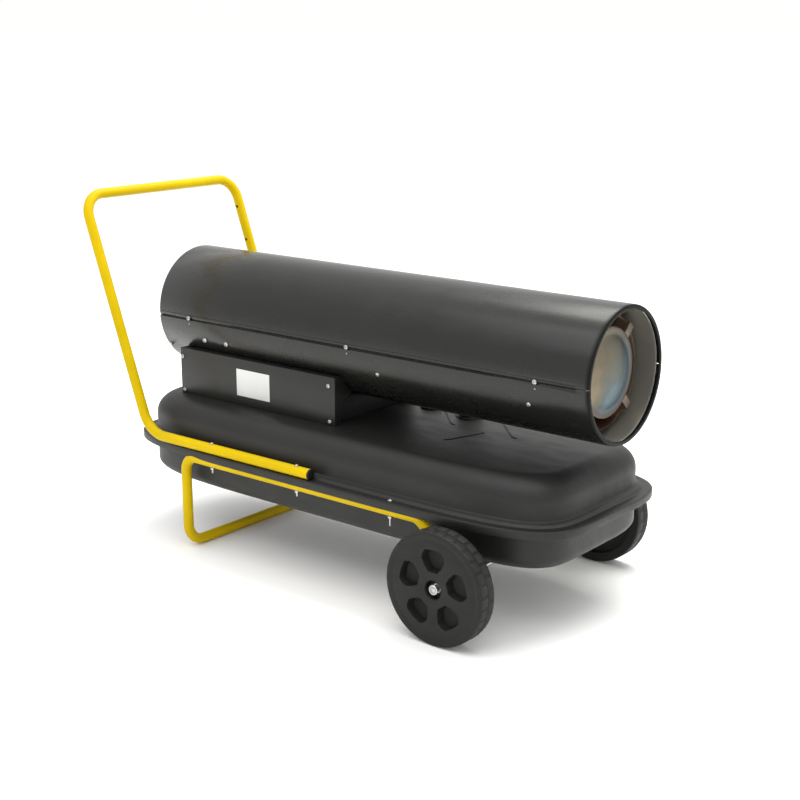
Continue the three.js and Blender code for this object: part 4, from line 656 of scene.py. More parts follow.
# The rim of the upper half: (inset, height over its flat), outward from the wall
UPPER_RIM = (
    (0.0, 12.0), (-0.8, 9.2), (-2.8, 7.4), (-6.0, 6.3), (-8.6, 5.2), (-10.6, 3.2), (-12.2, 1.8),
    (-13.4, 1.2), (-14.8, 1.0), (-16.2, 1.1), (-17.6, 1.4), (-19.5, 1.5), (-27.6, 1.5),
    (-29.2, 1.1), (-30.0, 0.1), (-30.2, -1.2),
)
UPPER_RINGS = (
    shoulder_rings(UPPER_RUN, UPPER_RISE, TANK_TOP_Z, -1, 0)
    + [(inset, RIM_FLAT_Z + height) for inset, height in UPPER_RIM]
    + [(-30.2, HEM_LOW_Z + 0.6), (-29.9, HEM_LOW_Z), (-29.5, HEM_LOW_Z), (-29.2, HEM_LOW_Z + 0.6)]
    + [(-29.2, SEAM_Z + SEAT_GAP), (SHEET, SEAM_Z + SEAT_GAP)]
    + shoulder_rings(UPPER_RUN, UPPER_RISE, TANK_TOP_Z, -1, SHEET)[::-1]
)
LOWER_RINGS = (
    shoulder_rings(LOWER_RUN, LOWER_RISE, TANK_BOTTOM_Z, 1, SHEET)
    + [(SHEET, SEAM_Z), (-27.2, SEAM_Z), (-27.2, 200.5), (-4.0, 200.5)]
    + [(-2.4, 200.2), (-1.0, 199.2), (-0.2, 197.8), (0.0, 196.5)]
    + shoulder_rings(LOWER_RUN, LOWER_RISE, TANK_BOTTOM_Z, 1, 0)[::-1]
)
tank_half("tank_roof_pressing", "tank_upper", UPPER_RINGS, True)
tank_half("tank_belly_pressing", "tank_lower", LOWER_RINGS, False)


# The yellow handle and leg
HANDLE_BEND_X = -759.0
HANDLE_END_X = -330.0
GRIP_X, GRIP_Z = -923.7, 673.7
TUBE_BORE_RADIUS = 8.5
PAINTED_RADIUS = TUBE_RADIUS - 0.05


def tube(name, node, half, bends):
    """A painted tube that is the same on both sides, from (x, z) corners on its right side."""
    corners = [at(x, -TUBE_Y, z) for x, z in half] + [at(x, TUBE_Y, z) for x, z in reversed(half)]
    shape = swept(bent(corners, bends + bends[::-1]), PAINTED_RADIUS, 32, TUBE_BORE_RADIUS)
    return piece(name, shape, node)


handle = tube(
    "handle_tube_painted", "handle_tube",
    [(HANDLE_END_X, HANDLE_Z), (HANDLE_BEND_X, HANDLE_Z), (GRIP_X, GRIP_Z)], [60, 45],
)
HANDLE_HOLES = ((-902.3, 614.5), (-877.1, 544.5))
HOLE_RADIUS = 3.3
hole = [(0, 0), (HOLE_RADIUS, 0), (HOLE_RADIUS, 8), (0, 8)]
carve(handle, [
    turned(hole, Y_AXIS, at(x, TUBE_Y - TUBE_RADIUS - 3, z), 20) for x, z in HANDLE_HOLES
])
PLUG_PROFILE = (
    (0, -14), (8.2, -14), (8.2, 0), (10, 0), (10, 1.8), (9.4, 2.7), (8.2, 3.2), (0, 3.4),
)
for side_name, sign in SIDES:
    plug = turned(PLUG_PROFILE, X_AXIS, at(HANDLE_END_X + 0.3, sign * TUBE_Y, HANDLE_Z), 32)
    piece("handle_cap_" + side_name, plug, "handle_plug_" + side_name)

LEG_X = -656.0
LEG_FRONT_X = -78.0
fall = Vector((-LEG_FRONT_X, 100 - LEG_Z))
fall_reach = 1 + 14 / fall.length
leg_end = (LEG_FRONT_X + fall.x * fall_reach, LEG_Z + fall.y * fall_reach)
leg_half = [leg_end, (LEG_FRONT_X, LEG_Z), (LEG_X, LEG_Z), (LEG_X, TUBE_RADIUS)]
tube("leg_tube_painted", "leg_frame", leg_half, [34, 30, 38])


# Bolts and screws
PAN_PROFILE = ((1, 0.35), (0.9, 0.7), (0.68, 0.94), (0.46, 1), (0.4, 0.92), (0.3, 0.45), (0, 0.4))


def pan_head(place, normal, radius, height):
    """A pan head with a round drive recess."""
    head = [(0, -0.4), (radius, -0.4)] + [(radius * out, height * up) for out, up in PAN_PROFILE]
    return turned(head, normal, place, 20)


def hex_nut(radius, low, high, place, chamfer=0.4):
    """A hexagonal nut about Z, chamfered at its top and bottom."""
    levels = (
        (radius - chamfer, low), (radius, low + chamfer),
        (radius, high - chamfer), (radius - chamfer, high),
    )
    points = []
    for level_radius, height in levels:
        for i in range(6):
            angle = pi / 6 + pi * i / 3
            corner = Vector((cos(angle) * level_radius, sin(angle) * level_radius, height))
            points.append(place + corner * MM)
    return Shape().add(points, ring_faces(6, len(levels)))


# Each pair of bolts: name, place along X, height of its seat, head radius, length
TUBE_TOP_Z = HANDLE_Z + 9.96
RIM_BEAD_Z = RIM_FLAT_Z + 1.5 + SEAT_GAP
BOLT_PLACES = (
    ("rear", -582.0, TUBE_TOP_Z, 4.3, 58.0),
    ("middle", -362.0, TUBE_TOP_Z, 4.3, 58.0),
    ("front", -142.7, RIM_BEAD_Z, 4.6, 46.0),
)
BOLT_RADIUS = 1.8
WASHER_RADIUS = 4.8
NUT_RADIUS = 4.4
NUT_TOP_Z = LEG_Z - 10.1
BOLT_WASHER = ((BOLT_RADIUS, -1), (WASHER_RADIUS, -1), (WASHER_RADIUS, 0), (BOLT_RADIUS, 0))
for place_name, bolt_x, seat_z, head_radius, length in BOLT_PLACES:
    bolt_profile = [
        (0, -length), (1.2, -length), (BOLT_RADIUS, 0.7 - length), (BOLT_RADIUS, 0),
        (head_radius - 0.2, 0), (head_radius, 0.8), (0.87 * head_radius, 2.0),
        (0.55 * head_radius, 2.8), (0.4 * head_radius, 2.7), (0.34 * head_radius, 1.7), (0, 1.6),
    ]
    for side_name, sign in SIDES:
        foot = at(bolt_x, sign * TUBE_Y, NUT_TOP_Z)
        bolt = turned(bolt_profile, Z_AXIS, at(bolt_x, sign * TUBE_Y, seat_z), 28)
        bolt.join(turned(BOLT_WASHER, Z_AXIS, foot, 28))
        bolt.join(hex_nut(NUT_RADIUS, -4.5, -1, foot))
        piece("frame_bolt_" + place_name + "_zinc_" + side_name, bolt,
              "frame_bolt_" + place_name + "_" + side_name, smooth=30.0)


# The shell: an upper half that laps over a stepped lower half
SHELL_STEPS = 120
MOUTH_RADIUS = 110.4
SHELL_SHEET = 1.2
# The rolled mouth, as (distance from the front, radius) of its outer and inner faces
ROLL_OUTER = (
    (9.0, 119.0), (5.0, 119.0), (2.2, 118.8), (0.9, 118.3), (0.25, 117.4), (0.0, 116.2),
    (0.0, 113.0), (0.0, 111.4), (0.35, 110.7), (1.1, MOUTH_RADIUS), (2.2, 110.5),
)
ROLL_INNER = (
    (9.0, 117.8), (5.0, 117.8), (3.0, 117.6), (2.0, 117.2), (1.5, 116.6), (1.25, 115.6),
    (1.25, 113.0), (1.25, 112.0), (1.4, 111.7), (1.7, 111.5), (2.2, 111.3),
)
MOUTH_X = SHELL_FRONT_X - 26.0
LAP_DROP = 5.4
MOUTH_DROP = 1.4
MOUTH_GAP = 1.2
TONGUE_STEP = 2.6


def shell_profile():
    """Outer and inner (x, radius) stations from the rear edge to the rolled mouth."""
    outer = [(SHELL_REAR_X, SHELL_RADIUS - 0.3), (SHELL_REAR_X + 0.5, SHELL_RADIUS)]
    inner = [(SHELL_REAR_X, SHELL_RADIUS - 0.9), (SHELL_REAR_X + 0.5, SHELL_RADIUS - SHELL_SHEET)]
    for x in (-600.0, -400.0, -200.0, 0.0, MOUTH_X - 1.5, MOUTH_X + 1.5):
        outer.append((x, SHELL_RADIUS))
        inner.append((x, SHELL_RADIUS - SHELL_SHEET))
    outer += [(SHELL_FRONT_X - back, radius) for back, radius in ROLL_OUTER]
    inner += [(SHELL_FRONT_X - back, radius) for back, radius in ROLL_INNER]
    return outer, inner


def shell_half(angles_at):
    """A half of the shell: angles_at(x) lists (angle, inward step) from one edge to the other."""
    outer, inner = shell_profile()
    points = []
    for x, radius in outer + inner:
        for angle, step in angles_at(x):
            reach = radius - step
            points.append(at(x, reach * cos(angle), SHELL_Z + reach * sin(angle)))
    return Shape().add(points, sheet_faces(len(outer), len(angles_at(0.0))))


def half_angles(levels, start, sense):
    """(angle, inward step) round a half from its start; levels are (drop, step) from the edge on."""
    edge = [(start + sense * asin(drop / SHELL_RADIUS), step) for drop, step in levels]
    first = edge[-1][0]
    both = 2 * start + pi
    arc = [(first + (both - 2 * first) * i / SHELL_STEPS, 0.0) for i in range(1, SHELL_STEPS)]
    return edge + arc + [(both - angle, step) for angle, step in reversed(edge)]


def upper_angles(x):
    """The upper half: each edge turns inward over the seam, with a fine hem line above it."""
    levels = ((LAP_DROP, TONGUE_STEP - 0.3), (1.6, 0.0), (-2.0, 0.0), (-2.6, 0.5), (-3.2, 0.0))
    if x > MOUTH_X:
        levels = ((MOUTH_DROP, 0.2), (0.9, 0.0), (-2.0, 0.0), (-2.5, 0.0), (-3.0, 0.0))
    return half_angles(levels, 0.0, -1)


def lower_angles(x):
    """The lower half, with a stepped tongue along each edge that goes behind the upper half."""
    levels = ((-6.0, TONGUE_STEP), (5.8, TONGUE_STEP), (7.8, 0.0))
    if x > MOUTH_X:
        levels = ((MOUTH_DROP + MOUTH_GAP, 0.0), (7.0, 0.0), (10.0, 0.0))
    return half_angles(levels, -pi, 1)


for half, angles_at in (("upper", upper_angles), ("lower", lower_angles)):
    piece("shell_" + half + "_sheet", shell_half(angles_at), "shell_" + half, finish=shell_paint,
          smooth=32.0)


def section(radius, front, pairs):
    """A profile from pairs of a drop below a radius and a distance behind a front."""
    return [(radius - drop, front - back) for drop, back in pairs]


LINER_LENGTH = 94.5
liner = turned(
    section(115.2, SHELL_FRONT_X - 8.5, (
        (0, LINER_LENGTH), (0, 1.5), (0.4, 0.3), (1.0, 0), (1.7, 0.5), (1.7, 3.5), (1.0, 5),
        (1.0, LINER_LENGTH),
    )),
    X_AXIS, at(0, 0, SHELL_Z), 144,
)
piece("outlet_liner_ring", liner, "outlet_liner", smooth=50.0)

# The chamber, its feet and the flame disc
CHAMBER_RADIUS = 98.7
CHAMBER_FRONT_X = SHELL_FRONT_X - 41.4
CHAMBER_LENGTH = 671.6
FOOT_INSETS = (118.5, 442.0)
FOOT_ANGLES = (-pi / 8, -7 * pi / 8, -pi / 2)
FOOT_REACH = 117.3
barrel = turned(
    section(CHAMBER_RADIUS, CHAMBER_FRONT_X, (
        (0, CHAMBER_LENGTH), (0, 1.0), (0.3, 0.2), (0.9, 0.2), (1.2, 1.0), (1.2, CHAMBER_LENGTH),
    )),
    X_AXIS, at(0, 0, SHELL_Z), 128,
)
foot = box_shape(
    Vector((-15, CHAMBER_RADIUS - 0.6, -1.5)) * MM, Vector((15, FOOT_REACH, 1.5)) * MM
)
for inset in FOOT_INSETS:
    for angle in FOOT_ANGLES:
        barrel.join(about_shell_axis(foot, SHELL_FRONT_X - inset, angle))
piece("chamber_barrel", barrel, "combustion_chamber", smooth=40.0)

DISC_X = CHAMBER_FRONT_X + 5.4
DISC_DOME = [(0, 13.0), (10, 12.8), (20, 12.0), (30, 10.6), (40, 8.6), (50, 6.0), (58, 3.2)]
DISC_EDGE = [
    (63.0, 1.4), (66.0, 1.3), (70.0, 1.5), (73.5, 2.4), (75.8, 2.6), (77.2, 1.8), (77.5, 0.8),
    (76.9, 0.2), (75.4, 0.9), (73.2, 0.9), (70.0, 0.1), (66.0, 0.0), (62.5, 0.1), (57.5, 2.0),
]
DISC_SHEET = 1.5
disc_profile = [(radius, height + DISC_SHEET) for radius, height in DISC_DOME]
disc_profile += DISC_EDGE + DISC_DOME[-2::-1]
disc = turned(disc_profile, X_AXIS, at(DISC_X, 0, SHELL_Z), 128, closed=False)

# Four tabs hook over the front edge of the chamber
HOOK_RADIUS = CHAMBER_RADIUS + 0.35
TAB_INNER_RADIUS = 74.5
TAB_LENGTH = 14.0
TAB_HALF = 7.5
TAB_PROFILE = (
    (0.2, TAB_INNER_RADIUS), (1.7, TAB_INNER_RADIUS), (1.7, HOOK_RADIUS + 0.2),
    (1.2, HOOK_RADIUS + 1.1), (0.2, HOOK_RADIUS + DISC_SHEET),
    (-TAB_LENGTH, HOOK_RADIUS + DISC_SHEET), (-TAB_LENGTH, HOOK_RADIUS), (0.2, HOOK_RADIUS),
)
tab_points = [Vector((x, y, z)) * MM for z in (-TAB_HALF, TAB_HALF) for x, y in TAB_PROFILE]
tab = Shape().add(tab_points, ring_faces(len(TAB_PROFILE), 2))
for index in range(4):
    disc.join(about_shell_axis(tab, DISC_X, 2 * pi * (index + 0.5) / 4))
piece("flame_disc_pressing", disc, "flame_disc", finish=disc_steel, smooth=40.0)


# The wheels, with a chunky tread round a moulded body: (radius, distance from the inner face)
WHEEL_PROFILE = (
    (6.3, -16.8), (15.2, -16.8), (16.0, -16.0), (16.0, 9.0), (82.0, 9.0), (82.0, 1.0),
    (83.0, 0.0), (96.4, 0.0), (98.0, 0.4), (98.9, 1.6), (99.1, 3.6), (99.1, 34.0),
    (98.9, 36.0), (98.0, 37.2), (96.4, 37.6), (88.0, 37.6), (87.0, 37.25), (86.0, 37.2),
    (85.0, 37.5), (28.0, 37.6), (26.6, 37.4), (18.2, 37.4), (17.2, 37.0), (16.5, 36.0),
    (16.5, 23.6), (6.3, 23.6),
)
WHEEL_WIDTH = 37.6
WHEEL_RADIUS = 100.0
POCKET_COUNT = 5
POCKET_OUTLINE = ((-8.5, 33.0), (8.5, 33.0), (15.5, 41.0), (21.5, 52.0), (20.0, 60.0), (15.0, 67.0),
                  (0.0, 69.0), (-15.0, 67.0), (-20.0, 60.0), (-21.5, 52.0), (-15.5, 41.0))
POCKET_MIDDLE = Vector((0.0, 51.0))
# The walls of a pocket lean out a little towards its mouth: (scale, depth)
POCKET_LEVELS = ((0.8, 21.0), (0.93, 22.2), (1.01, 25.0), (1.05, 34.8), (1.1, 37.3), (1.12, 42.0))


def pocket_cutter(angle, side_turn):
    points = []
    for scale, depth in POCKET_LEVELS:
        for corner in POCKET_OUTLINE:
            flat = POCKET_MIDDLE + (Vector(corner) - POCKET_MIDDLE) * scale
            points.append(Vector((flat.x, depth, flat.y)) * MM)
    cutter = Shape().add(points, ring_faces(len(POCKET_OUTLINE), len(POCKET_LEVELS)))
    return cutter.moved(side_turn @ Matrix.Rotation(angle, 4, "Y"))


TREAD_COUNT = 30
TREAD_SHARE = 0.75
TREAD_FOOT = 98.7
TREAD_SECTION = (
    (98.2, 0.9), (99.5, 2.6), (99.9, 4.6), (99.9, 16.6), (99.5, 17.2), (TREAD_FOOT, 17.4),
    (TREAD_FOOT, 4.0), (97.9, 1.6),
)
# Along the tread, each block is full between its rounded ends: (share of its span, pull inward)
TREAD_LAYERS = ((-0.5, 0.8), (-0.46, 0.0), (0.46, 0.0), (0.5, 0.8))
outer_section = [(radius, WHEEL_WIDTH - along) for radius, along in reversed(TREAD_SECTION)]


def tread_block(outline, angle):
    """One low block of the tread, wider on the crown than over the shoulder."""
    points = []
    for share, pull in TREAD_LAYERS:
        turn = angle + 2 * pi / TREAD_COUNT * TREAD_SHARE * share
        for radius, along in outline:
            drawn = radius - (pull if radius > 99 else 0.0)
            points.append(Vector((drawn * sin(turn), along, drawn * cos(turn))) * MM)
    return Shape().add(points, ring_faces(len(outline), len(TREAD_LAYERS)))


WHEEL_INNER_Y = 232.1
for side_name, sign in SIDES:
    wheel_name = "wheel_" + side_name
    facing = Matrix.Rotation(0 if sign > 0 else pi, 4, "Z")
    side_turn = Matrix.Translation(at(0, sign * WHEEL_INNER_Y, WHEEL_RADIUS)) @ facing
    moulding = turned(WHEEL_PROFILE, Y_AXIS, (0, 0, 0), 144).moved(side_turn)
    wheel = piece("wheel_moulding_" + side_name, moulding, wheel_name, smooth=35.0)
    carve(wheel, [pocket_cutter(2 * pi * i / POCKET_COUNT, side_turn) for i in range(POCKET_COUNT)])
    tread = Shape()
    for index in range(TREAD_COUNT):
        angle = 2 * pi * index / TREAD_COUNT
        tread.join(tread_block(TREAD_SECTION, angle))
        tread.join(tread_block(outer_section, angle + pi / TREAD_COUNT))
    piece("wheel_tread_" + side_name, tread.moved(side_turn), slot="wheel_plastic", body=wheel_name,
          finish=tread_rubber, smooth=35.0)

# The axle and what keeps the wheels on it
OUTER_FACE_Y = WHEEL_INNER_Y + WHEEL_WIDTH
WASHER_Y = OUTER_FACE_Y - 14 + SEAT_GAP
WASHER_PROFILE = ((6.4, 0), (8.0, 0), (8.4, 0.4), (8.4, 1.2), (8.0, 1.6), (6.4, 1.6))
PIN_Y = WASHER_Y + 1.6 + SEAT_GAP + 1.2
PIN_LEAN = radians(-40)
AXLE_END_Y = OUTER_FACE_Y - 0.2
# Half the axle with its domed cap: (radius, distance in from the end)
AXLE_HALF = (
    (0, 0), (2.6, 0.3), (4.2, 1.1), (4.9, 2.2), (6.0, 2.2), (6.7, 0.7), (8.2, 0.7), (8.8, 1.3),
    (8.8, 2.8), (8.4, 3.2), (5.95, 3.2),
)
axle_profile = [(radius, AXLE_END_Y - back) for radius, back in AXLE_HALF]
axle_profile += [(radius, back - AXLE_END_Y) for radius, back in reversed(AXLE_HALF)]
axle = turned(axle_profile, Y_AXIS, at(0, 0, WHEEL_RADIUS), 48, closed=False)
piece("axle_bar", axle, "axle", smooth=30.0)
for side_name, sign in SIDES:
    washer = turned(WASHER_PROFILE, (0, sign, 0), at(0, sign * WASHER_Y, WHEEL_RADIUS), 40)
    piece("axle_washer_zinc_" + side_name, washer, "axle_washer_" + side_name)

    def pin_at(x, z):
        lean = Matrix.Rotation(-PIN_LEAN, 3, "Y")
        return at(0, sign * PIN_Y, WHEEL_RADIUS) + lean @ Vector((x * MM, 0, z * MM))

    loop = [radians(-60 + 300 * step / 16) for step in range(17)]
    pin = swept([pin_at(3 * cos(turn), 10.6 + 3 * sin(turn)) for turn in loop], 0.75, 12)
    for offset in (-0.62, 0.62):
        leg = [pin_at(offset, 8.4), pin_at(offset, -8.5), pin_at(offset * 4, -12.5)]
        pin.join(swept(leg, 0.6, 10))
    piece("cotter_pin_wire_" + side_name, pin, "cotter_pin_" + side_name)


# The housing under the shell, its covers and its plate
softened("base_housing", "base_housing_sheet", finish=shaded_housing_paint, bevel=0.5)
for side_name, _ in SIDES:
    softened("side_cover_" + side_name, "side_cover_sheet_" + side_name, bevel=0.7, segments=3)
PLATE_REAR_X, PLATE_FRONT_X = -598.2, -510.4
PLATE_LOW_Z, PLATE_HIGH_Z = 303.3, 356.3
PLATE_SHEET = 0.55
plate_y = -HOUSING_HALF_WIDTH - 0.05
plate = box_shape(
    at(PLATE_REAR_X, plate_y - PLATE_SHEET, PLATE_LOW_Z), at(PLATE_FRONT_X, plate_y, PLATE_HIGH_Z)
)
piece("rating_plate_blank", plate, "rating_plate", bevel=0.25)

# Screws, in groups that lie on one kind of sheet
COVER_SCREW_PLACES = ((-748.7, 358.6), (-746.0, 290.4), (-360.0, 359.3), (-357.4, 291.6))
cover_screws = Shape()
for x, z in COVER_SCREW_PLACES:
    for _, sign in SIDES:
        cover_screws.join(pan_head(at(x, sign * HOUSING_HALF_WIDTH, z), (0, sign, 0), 4.3, 2.6))
piece("cover_screws", cover_screws, slot="zinc", smooth=30.0)

# On the shell: places along X, degrees below its middle, head radius and height
SHELL_SCREW_GROUPS = (
    ((-727.0, -315.0, 91.0), 1.5, 4.6, 3.0),
    ((-727.0, -315.0, 91.0), 7.2, 1.6, 1.2),
    ((-691.0, -632.0), 22.0, 5.6, 3.2),
    ((-249.0, 74.5), 22.5, 4.2, 2.4),
    ((-805.5,), 35.6, 3.6, 2.4),
)
SCREW_SINK = 0.15
shell_screws = Shape()
for places, degrees, radius, height in SHELL_SCREW_GROUPS:
    for x in places:
        for _, sign in SIDES:
            normal = Vector((0, sign * cos(radians(degrees)), -sin(radians(degrees))))
            place = at(x, 0, SHELL_Z) + normal * (SHELL_RADIUS - SCREW_SINK) * MM
            shell_screws.join(pan_head(place, normal, radius, height))
piece("shell_screws", shell_screws, slot="zinc", smooth=30.0)

# Round pieces of the top, the far side and the back: what a piece's name adds to its node's name,
# node, axis, place, sides, profile and swell
ROUND_PIECES = (
    ("_pressing", "filler_neck", Z_AXIS, (-200, 105, TANK_TOP_Z), 64, (
        (18.5, -12), (20.5, -12), (20.5, 0.3), (28.2, 0.3), (29, 0.9), (28.8, 1.7), (27.8, 2.2),
        (23.5, 2.3), (21.6, 3.0), (20.7, 4.4), (20.5, 6), (20.5, 25.3), (20, 26), (18.5, 26),
    ), None),
    ("_moulding", "fuel_cap", Z_AXIS, (-200, 105, 291.6), 144, (
        (0, 20), (20.8, 20), (20.8, 0), (23.3, 0, 1.6), (23.8, 0.6, 2.3), (23.8, 17.6, 2.5),
        (23.6, 19.4, 1.9), (23.2, 20.6, 0.8), (22.9, 21.8, 0), (22.0, 23.3, 0), (20.4, 24, 0),
        (16.0, 24, 0), (15.2, 23.5, 0), (14.6, 22.8, 0), (6, 22.8, 0), (5.4, 23.4, 0), (0, 23.6),
    ), lobes(6, 0.36)),
    ("_moulding", "pump_cover", X_AXIS, (-785.6, 0, SHELL_Z), 120, (
        (0, 0.5), (24, 0.5), (25, 0), (31, 0), (32, 0.9), (35, 0.9), (36, 0), (41.5, 0),
        (46.6, 4.6, 0.6), (47.3, 6.4, 0.7), (47.3, 13.2, 0.7), (46.8, 15, 0.4), (46.8, 16), (0, 16),
    ), lobes(30, 0.45)),
    ("_casting", "air_pump", X_AXIS, (-769.3, 0, SHELL_Z), 96, (
        (6.3, 24), (30, 24), (30, 0), (45.4, 0), (46, 0.7), (46, 7.3), (45.2, 8), (42.4, 9.5, 1.6),
        (42.4, 25, 1.6), (45.2, 26.4), (46, 27.2), (46, 33.3), (45.3, 34), (6.3, 34),
    ), lobes(12, 0.3)),
    ("_casing", "motor", X_AXIS, (MOTOR_REAR_X, 0, SHELL_Z), 216, (
        (6.3, 0), (40, 0), (42, 1.6), (54, 2.6), (58.4, 4.6), (60, 8), (60, 15), (57.3, 17, 2.5),
        (57.3, 103, 2.5), (60, 105), (60, 114), (58.6, 118.4), (54, 121), (44, 122), (24, 122),
        (19, 122.8), (18, 124.2), (18, 127.3), (17.3, 128), (6.3, 128),
    ), lobes(36, 0.42)),
    ("_case", "pressure_gauge", -X_AXIS, (-785.9, 0, SHELL_Z + 24), 64, (
        (0, 0), (15.8, 0), (16.6, 1), (16.6, 6.2), (17, 6.8), (17, 8.4), (16.4, 9), (15.5, 8.8),
        (15.1, 8.2), (15.1, 6.5), (1.3, 6.5), (1.3, 4.6), (0, 4.6),
    ), None),
    ("_moulding", "cord_gland", Y_AXIS, (-715, 118, 324.3), 72, (
        (4.5, -10), (8, -10), (8, 0.3), (11.6, 0.3, 1.1), (12, 0.9, 1.0), (12, 4.5, 1.0),
        (11.4, 5.3, 0.6), (9, 5.5), (9, 7.4), (8.3, 7.8), (8.3, 8.8), (8.9, 9.2), (8.9, 10.8),
        (8.2, 11.2), (8.2, 12.2), (8.7, 12.6), (8.7, 14.2), (8, 14.6), (7.9, 16.6), (7.2, 17.3),
        (4.5, 17.3),
    ), lobes(12, 0.6)),
    ("_moulding", "thermostat_knob", Y_AXIS, (-430, 118.3, 330.3), 144, (
        (0, -9), (3, -9), (3, 0), (18.6, 0), (19, 0.5), (18.6, 3.2), (17.6, 4), (16.4, 4.2),
        (15.2, 5, 0.8), (15, 13.4, 0.8), (14.2, 14.7, 0.3), (13, 15, 0), (0, 15),
    ), lobes(24, 0.5)),
)
for ending, node, axis, place, sides, profile, swell in ROUND_PIECES:
    shape = turned(profile, axis, at(*place), sides, swell=swell)
    if node == "thermostat_knob":
        knob_x, knob_y, knob_z = place
        for offset in (-3.1, 3.1):
            shape.join(box_shape(at(knob_x + offset - 0.9, knob_y + 12, knob_z - 14.4),
                                 at(knob_x + offset + 0.9, knob_y + 17.9, knob_z + 14.4)))
    # The filler neck takes its darkened zinc, painted shade
    finish = shaded_neck_zinc if node == "filler_neck" else None
    piece(node + ending, shape, node, finish=finish, smooth=32.0)


# Dials and scales
def ticks(axis, place, base, top, bars):
    """Marks round an axis: each bar is (turn in degrees, inner radius, outer radius, half its width)."""
    facing = Matrix.Translation(place) @ turn_to(axis)
    marks = Shape()
    for turn, inner, outer, half in bars:
        bar = box_shape(Vector((inner, -half, base)) * MM, Vector((outer, half, top)) * MM)
        marks.join(bar.moved(facing @ Matrix.Rotation(radians(turn), 4, "Z")))
    return marks


def dial(name, axis, place, first_turn, swept_turn, count):
    """A white face with ticks round it, flush on the gauge's own face."""
    face = turned([(1.4, 0), (14.6, 0), (14.6, 0.15), (1.4, 0.15)], axis, place, 64)
    piece(name + "_face", face, slot="white_plate")
    bars = []
    for index in range(count):
        inner, half = (9.6, 0.7) if index % 5 == 0 else (11.4, 0.35)
        bars.append((first_turn + swept_turn * index / (count - 1), inner, 14.0, half))
    piece(name + "_marks", ticks(axis, place, 0.1, 0.22, bars), slot="black_plastic", finish=dial_print)


dial("fuel_dial", Z_AXIS, at(-290, 105, 292.3), 0, 120, 11)
dial("pressure_dial", -X_AXIS, at(-792.4, 0, SHELL_Z + 24), 90, -120, 21)
knob_bars = [(-45 + 27 * index, 20.6, 25.0 if index % 5 == 0 else 23.0, 0.4) for index in range(11)]
scale = ticks(Y_AXIS, at(-430, HOUSING_HALF_WIDTH, 330.3), -0.05, 0.15, knob_bars)
piece("thermostat_scale", scale, slot="white_plate")

# The wire guard, with finer rings and spokes between the main ones
GUARD_X = -806.0
GUARD_INNER_RADIUS, GUARD_OUTER_RADIUS = 36.0, 115.2
WIRE_RADII = (2.0, 1.5)


def guard_place(x, radius, angle):
    return at(x, radius * cos(angle), SHELL_Z + radius * sin(angle))


guard = Shape()
for index in range(7):
    radius = GUARD_INNER_RADIUS + (GUARD_OUTER_RADIUS - GUARD_INNER_RADIUS) * index / 6
    around = [guard_place(GUARD_X, radius, 2 * pi * i / 96) for i in range(97)]
    guard.join(swept(around, WIRE_RADII[index % 2], 10))
for index in range(8):
    ends = [guard_place(GUARD_X + 2, reach, 2 * pi * (index + 1) / 8) for reach in (35.0, 116.0)]
    guard.join(swept(ends, WIRE_RADII[index % 2], 10))
piece("fan_guard_wires", guard, "fan_guard", finish=shell_paint, smooth=50.0)

# The fan: five twisted blades with rounded tips on a turned hub
FAN_X = -586.0
BLADE_COUNT = 5
BLADE_HALF_SHEET = 0.8
BLADE_ROWS, BLADE_COLUMNS = 14, 7
# Radius, chord and pitch, each at the root and at the tip
BLADE_ENDS = ((22.4, 104.0), (36.0, 62.0), (pi / 4, pi / 8))
BLADE_CAMBER = 2.2
TIP_TRIM = 5.0


def blade_layer(lift):
    """Places on one side of a blade that stands along +Y, in millimetres from the hub's middle."""
    places = []
    for row in range(BLADE_ROWS):
        share = row / (BLADE_ROWS - 1)
        radius, chord, pitch = (root + (tip - root) * share for root, tip in BLADE_ENDS)
        for column in range(BLADE_COLUMNS):
            edge = column / (BLADE_COLUMNS - 1) - 0.5
            camber = BLADE_CAMBER * (1 - 4 * edge * edge) * share
            x = chord * edge * sin(pitch) + (lift + camber) * cos(pitch)
            z = chord * edge * cos(pitch) - (lift + camber) * sin(pitch)
            trimmed = radius - TIP_TRIM * share ** 6 * (2 * edge) ** 4
            places.append(Vector((x, sqrt(trimmed ** 2 - z ** 2), z)) * MM)
    return places


blade_points = blade_layer(BLADE_HALF_SHEET) + blade_layer(-BLADE_HALF_SHEET)
blade = Shape().add(blade_points, sheet_faces(BLADE_ROWS, BLADE_COLUMNS))
fan = turned(
    [(6.3, -15), (14, -15), (15, -14), (23, -11), (24, -9.6), (24, 14), (23, 15), (6.3, 15)],
    X_AXIS, at(FAN_X, 0, SHELL_Z), 64,
)
for index in range(BLADE_COUNT):
    fan.join(about_shell_axis(blade, FAN_X, 2 * pi * index / BLADE_COUNT))
piece("fan_wheel", fan, "fan", smooth=40.0)

# The remaining solids keep their shapes, with their edges eased
EASED = {
    "fuel_gauge": 0.5, "drain_plug": 0.5, "motor_bracket": 0.5, "chamber_head": 0.5, "burner_head": 0.5,
    "ignition_transformer": 1.2, "control_board": 0.3, "thermostat_body": 0.8, "power_switch": 0.4,
    "switch_rocker": 0.5, "igniter": 0.3, "photocell": 0.4, "spray_nozzle": 0.4, "gauge_float": 0.3,
    "fuel_pickup": 0.3, "motor_shaft": 0.4, "pump_rotor": 0.4,
}
for node_name, bevel in EASED.items():
    softened(node_name, node_name + "_eased", bevel=bevel)

# A line on the switch for on
switch_line = box_shape(at(-506.9, 121.4, 327.8), at(-506.1, 123.0, 332.8))
piece("switch_on_line", switch_line, slot="white_plate", body="switch_rocker")

# The CAD pieces that stay as they are, each in its finish
for node_name, node in frame["nodes"].items():
    node.data.materials.clear()
    node.data.materials.append(SLOT_FINISHES[SLOT_OF[node_name]])


# Floor, light and camera
FLOOR_REACH = 60.0
FLOOR_TONE = (0.95, 0.95, 0.945, 1.0)


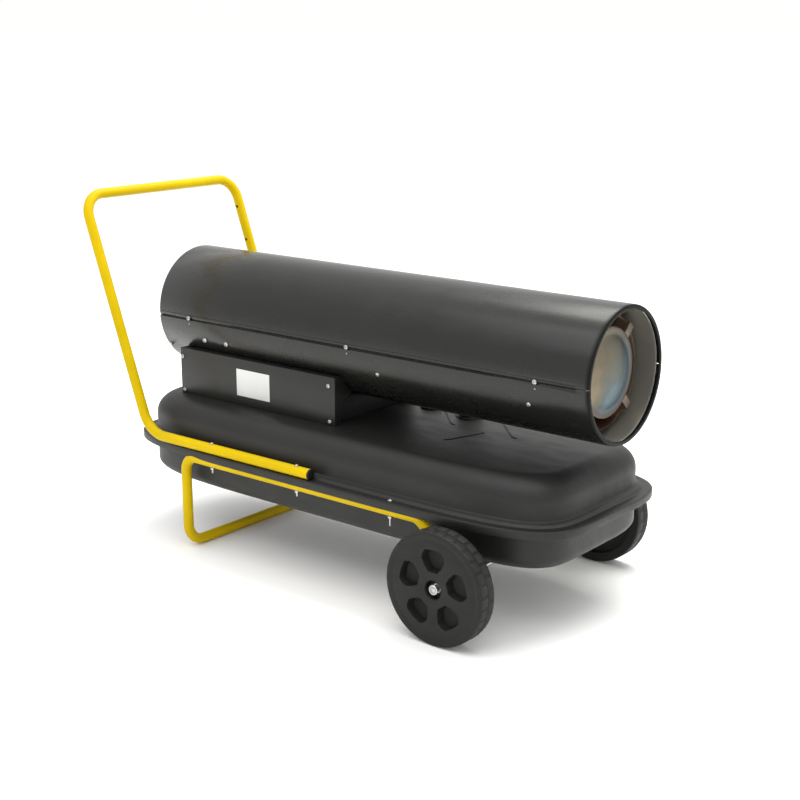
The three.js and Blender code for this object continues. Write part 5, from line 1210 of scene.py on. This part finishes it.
def stage_floor():
    low, high = -FLOOR_REACH, FLOOR_REACH
    mesh = bpy.data.meshes.new("floor")
    corners = [(low, low, 0), (high, low, 0), (high, high, 0), (low, high, 0)]
    mesh.from_pydata(corners, [], [(0, 1, 2, 3)])
    floor = new_object("floor", mesh)
    floor.location.z = -0.0002
    looks = {"Base Color": FLOOR_TONE, "Roughness": 0.8, "Specular IOR Level": 0.1}
    mesh.materials.append(Finish("floor_white").shade(looks))


def area_light(name, place, target, size, power, colour):
    data = bpy.data.lights.new(name, "AREA")
    data.shape = "RECTANGLE"
    data.size, data.size_y = size
    data.energy = power
    data.color = colour
    light = new_object(name, data)
    light.location = place
    light.rotation_euler = (Vector(target) - Vector(place)).to_track_quat("-Z", "Y").to_euler()


stage_floor()
world = bpy.data.worlds.new("studio")
world.use_nodes = True
world.node_tree.nodes["Background"].inputs["Color"].default_value = (1.0, 1.0, 0.995, 1.0)
world.node_tree.nodes["Background"].inputs["Strength"].default_value = 1.0
bpy.context.scene.world = world
bpy.context.scene.view_settings.view_transform = "Standard"

WARM_WHITE = (1.0, 1.0, 0.94)
WHITE = (1.0, 1.0, 1.0)
area_light("overhead_softbox", (0.3, 0.9, 2.6), (0.1, 0.0, 0.4), (2.6, 1.5), 76.0, WARM_WHITE)
area_light("front_overhead", (0.2, -1.5, 3.0), (0.0, -0.2, 0.1), (3.6, 2.4), 42.0, WHITE)

# A broad sky from straight above keeps the far floor white and the shadow under the tank deep
sky = bpy.data.lights.new("overhead_sky", "SUN")
sky.energy = 0.45
sky.angle = radians(80)
new_object("overhead_sky", sky)

CAMERA_PLACE = (1333.5, -2005.7, 1007.7)
CAMERA_AZIMUTH = radians(38.93)
CAMERA_ELEVATION = radians(14.92)
CAMERA_FOCAL_SHARE = 1425.7 / 800.0
SENSOR_WIDTH = 36.0
camera_data = bpy.data.cameras.new("camera")
camera_data.sensor_width = SENSOR_WIDTH
camera_data.lens = SENSOR_WIDTH * CAMERA_FOCAL_SHARE
camera = new_object("camera", camera_data)
camera.location = at(*CAMERA_PLACE)
camera.rotation_euler = (pi / 2 - CAMERA_ELEVATION, 0.0, CAMERA_AZIMUTH)
bpy.context.scene.camera = camera
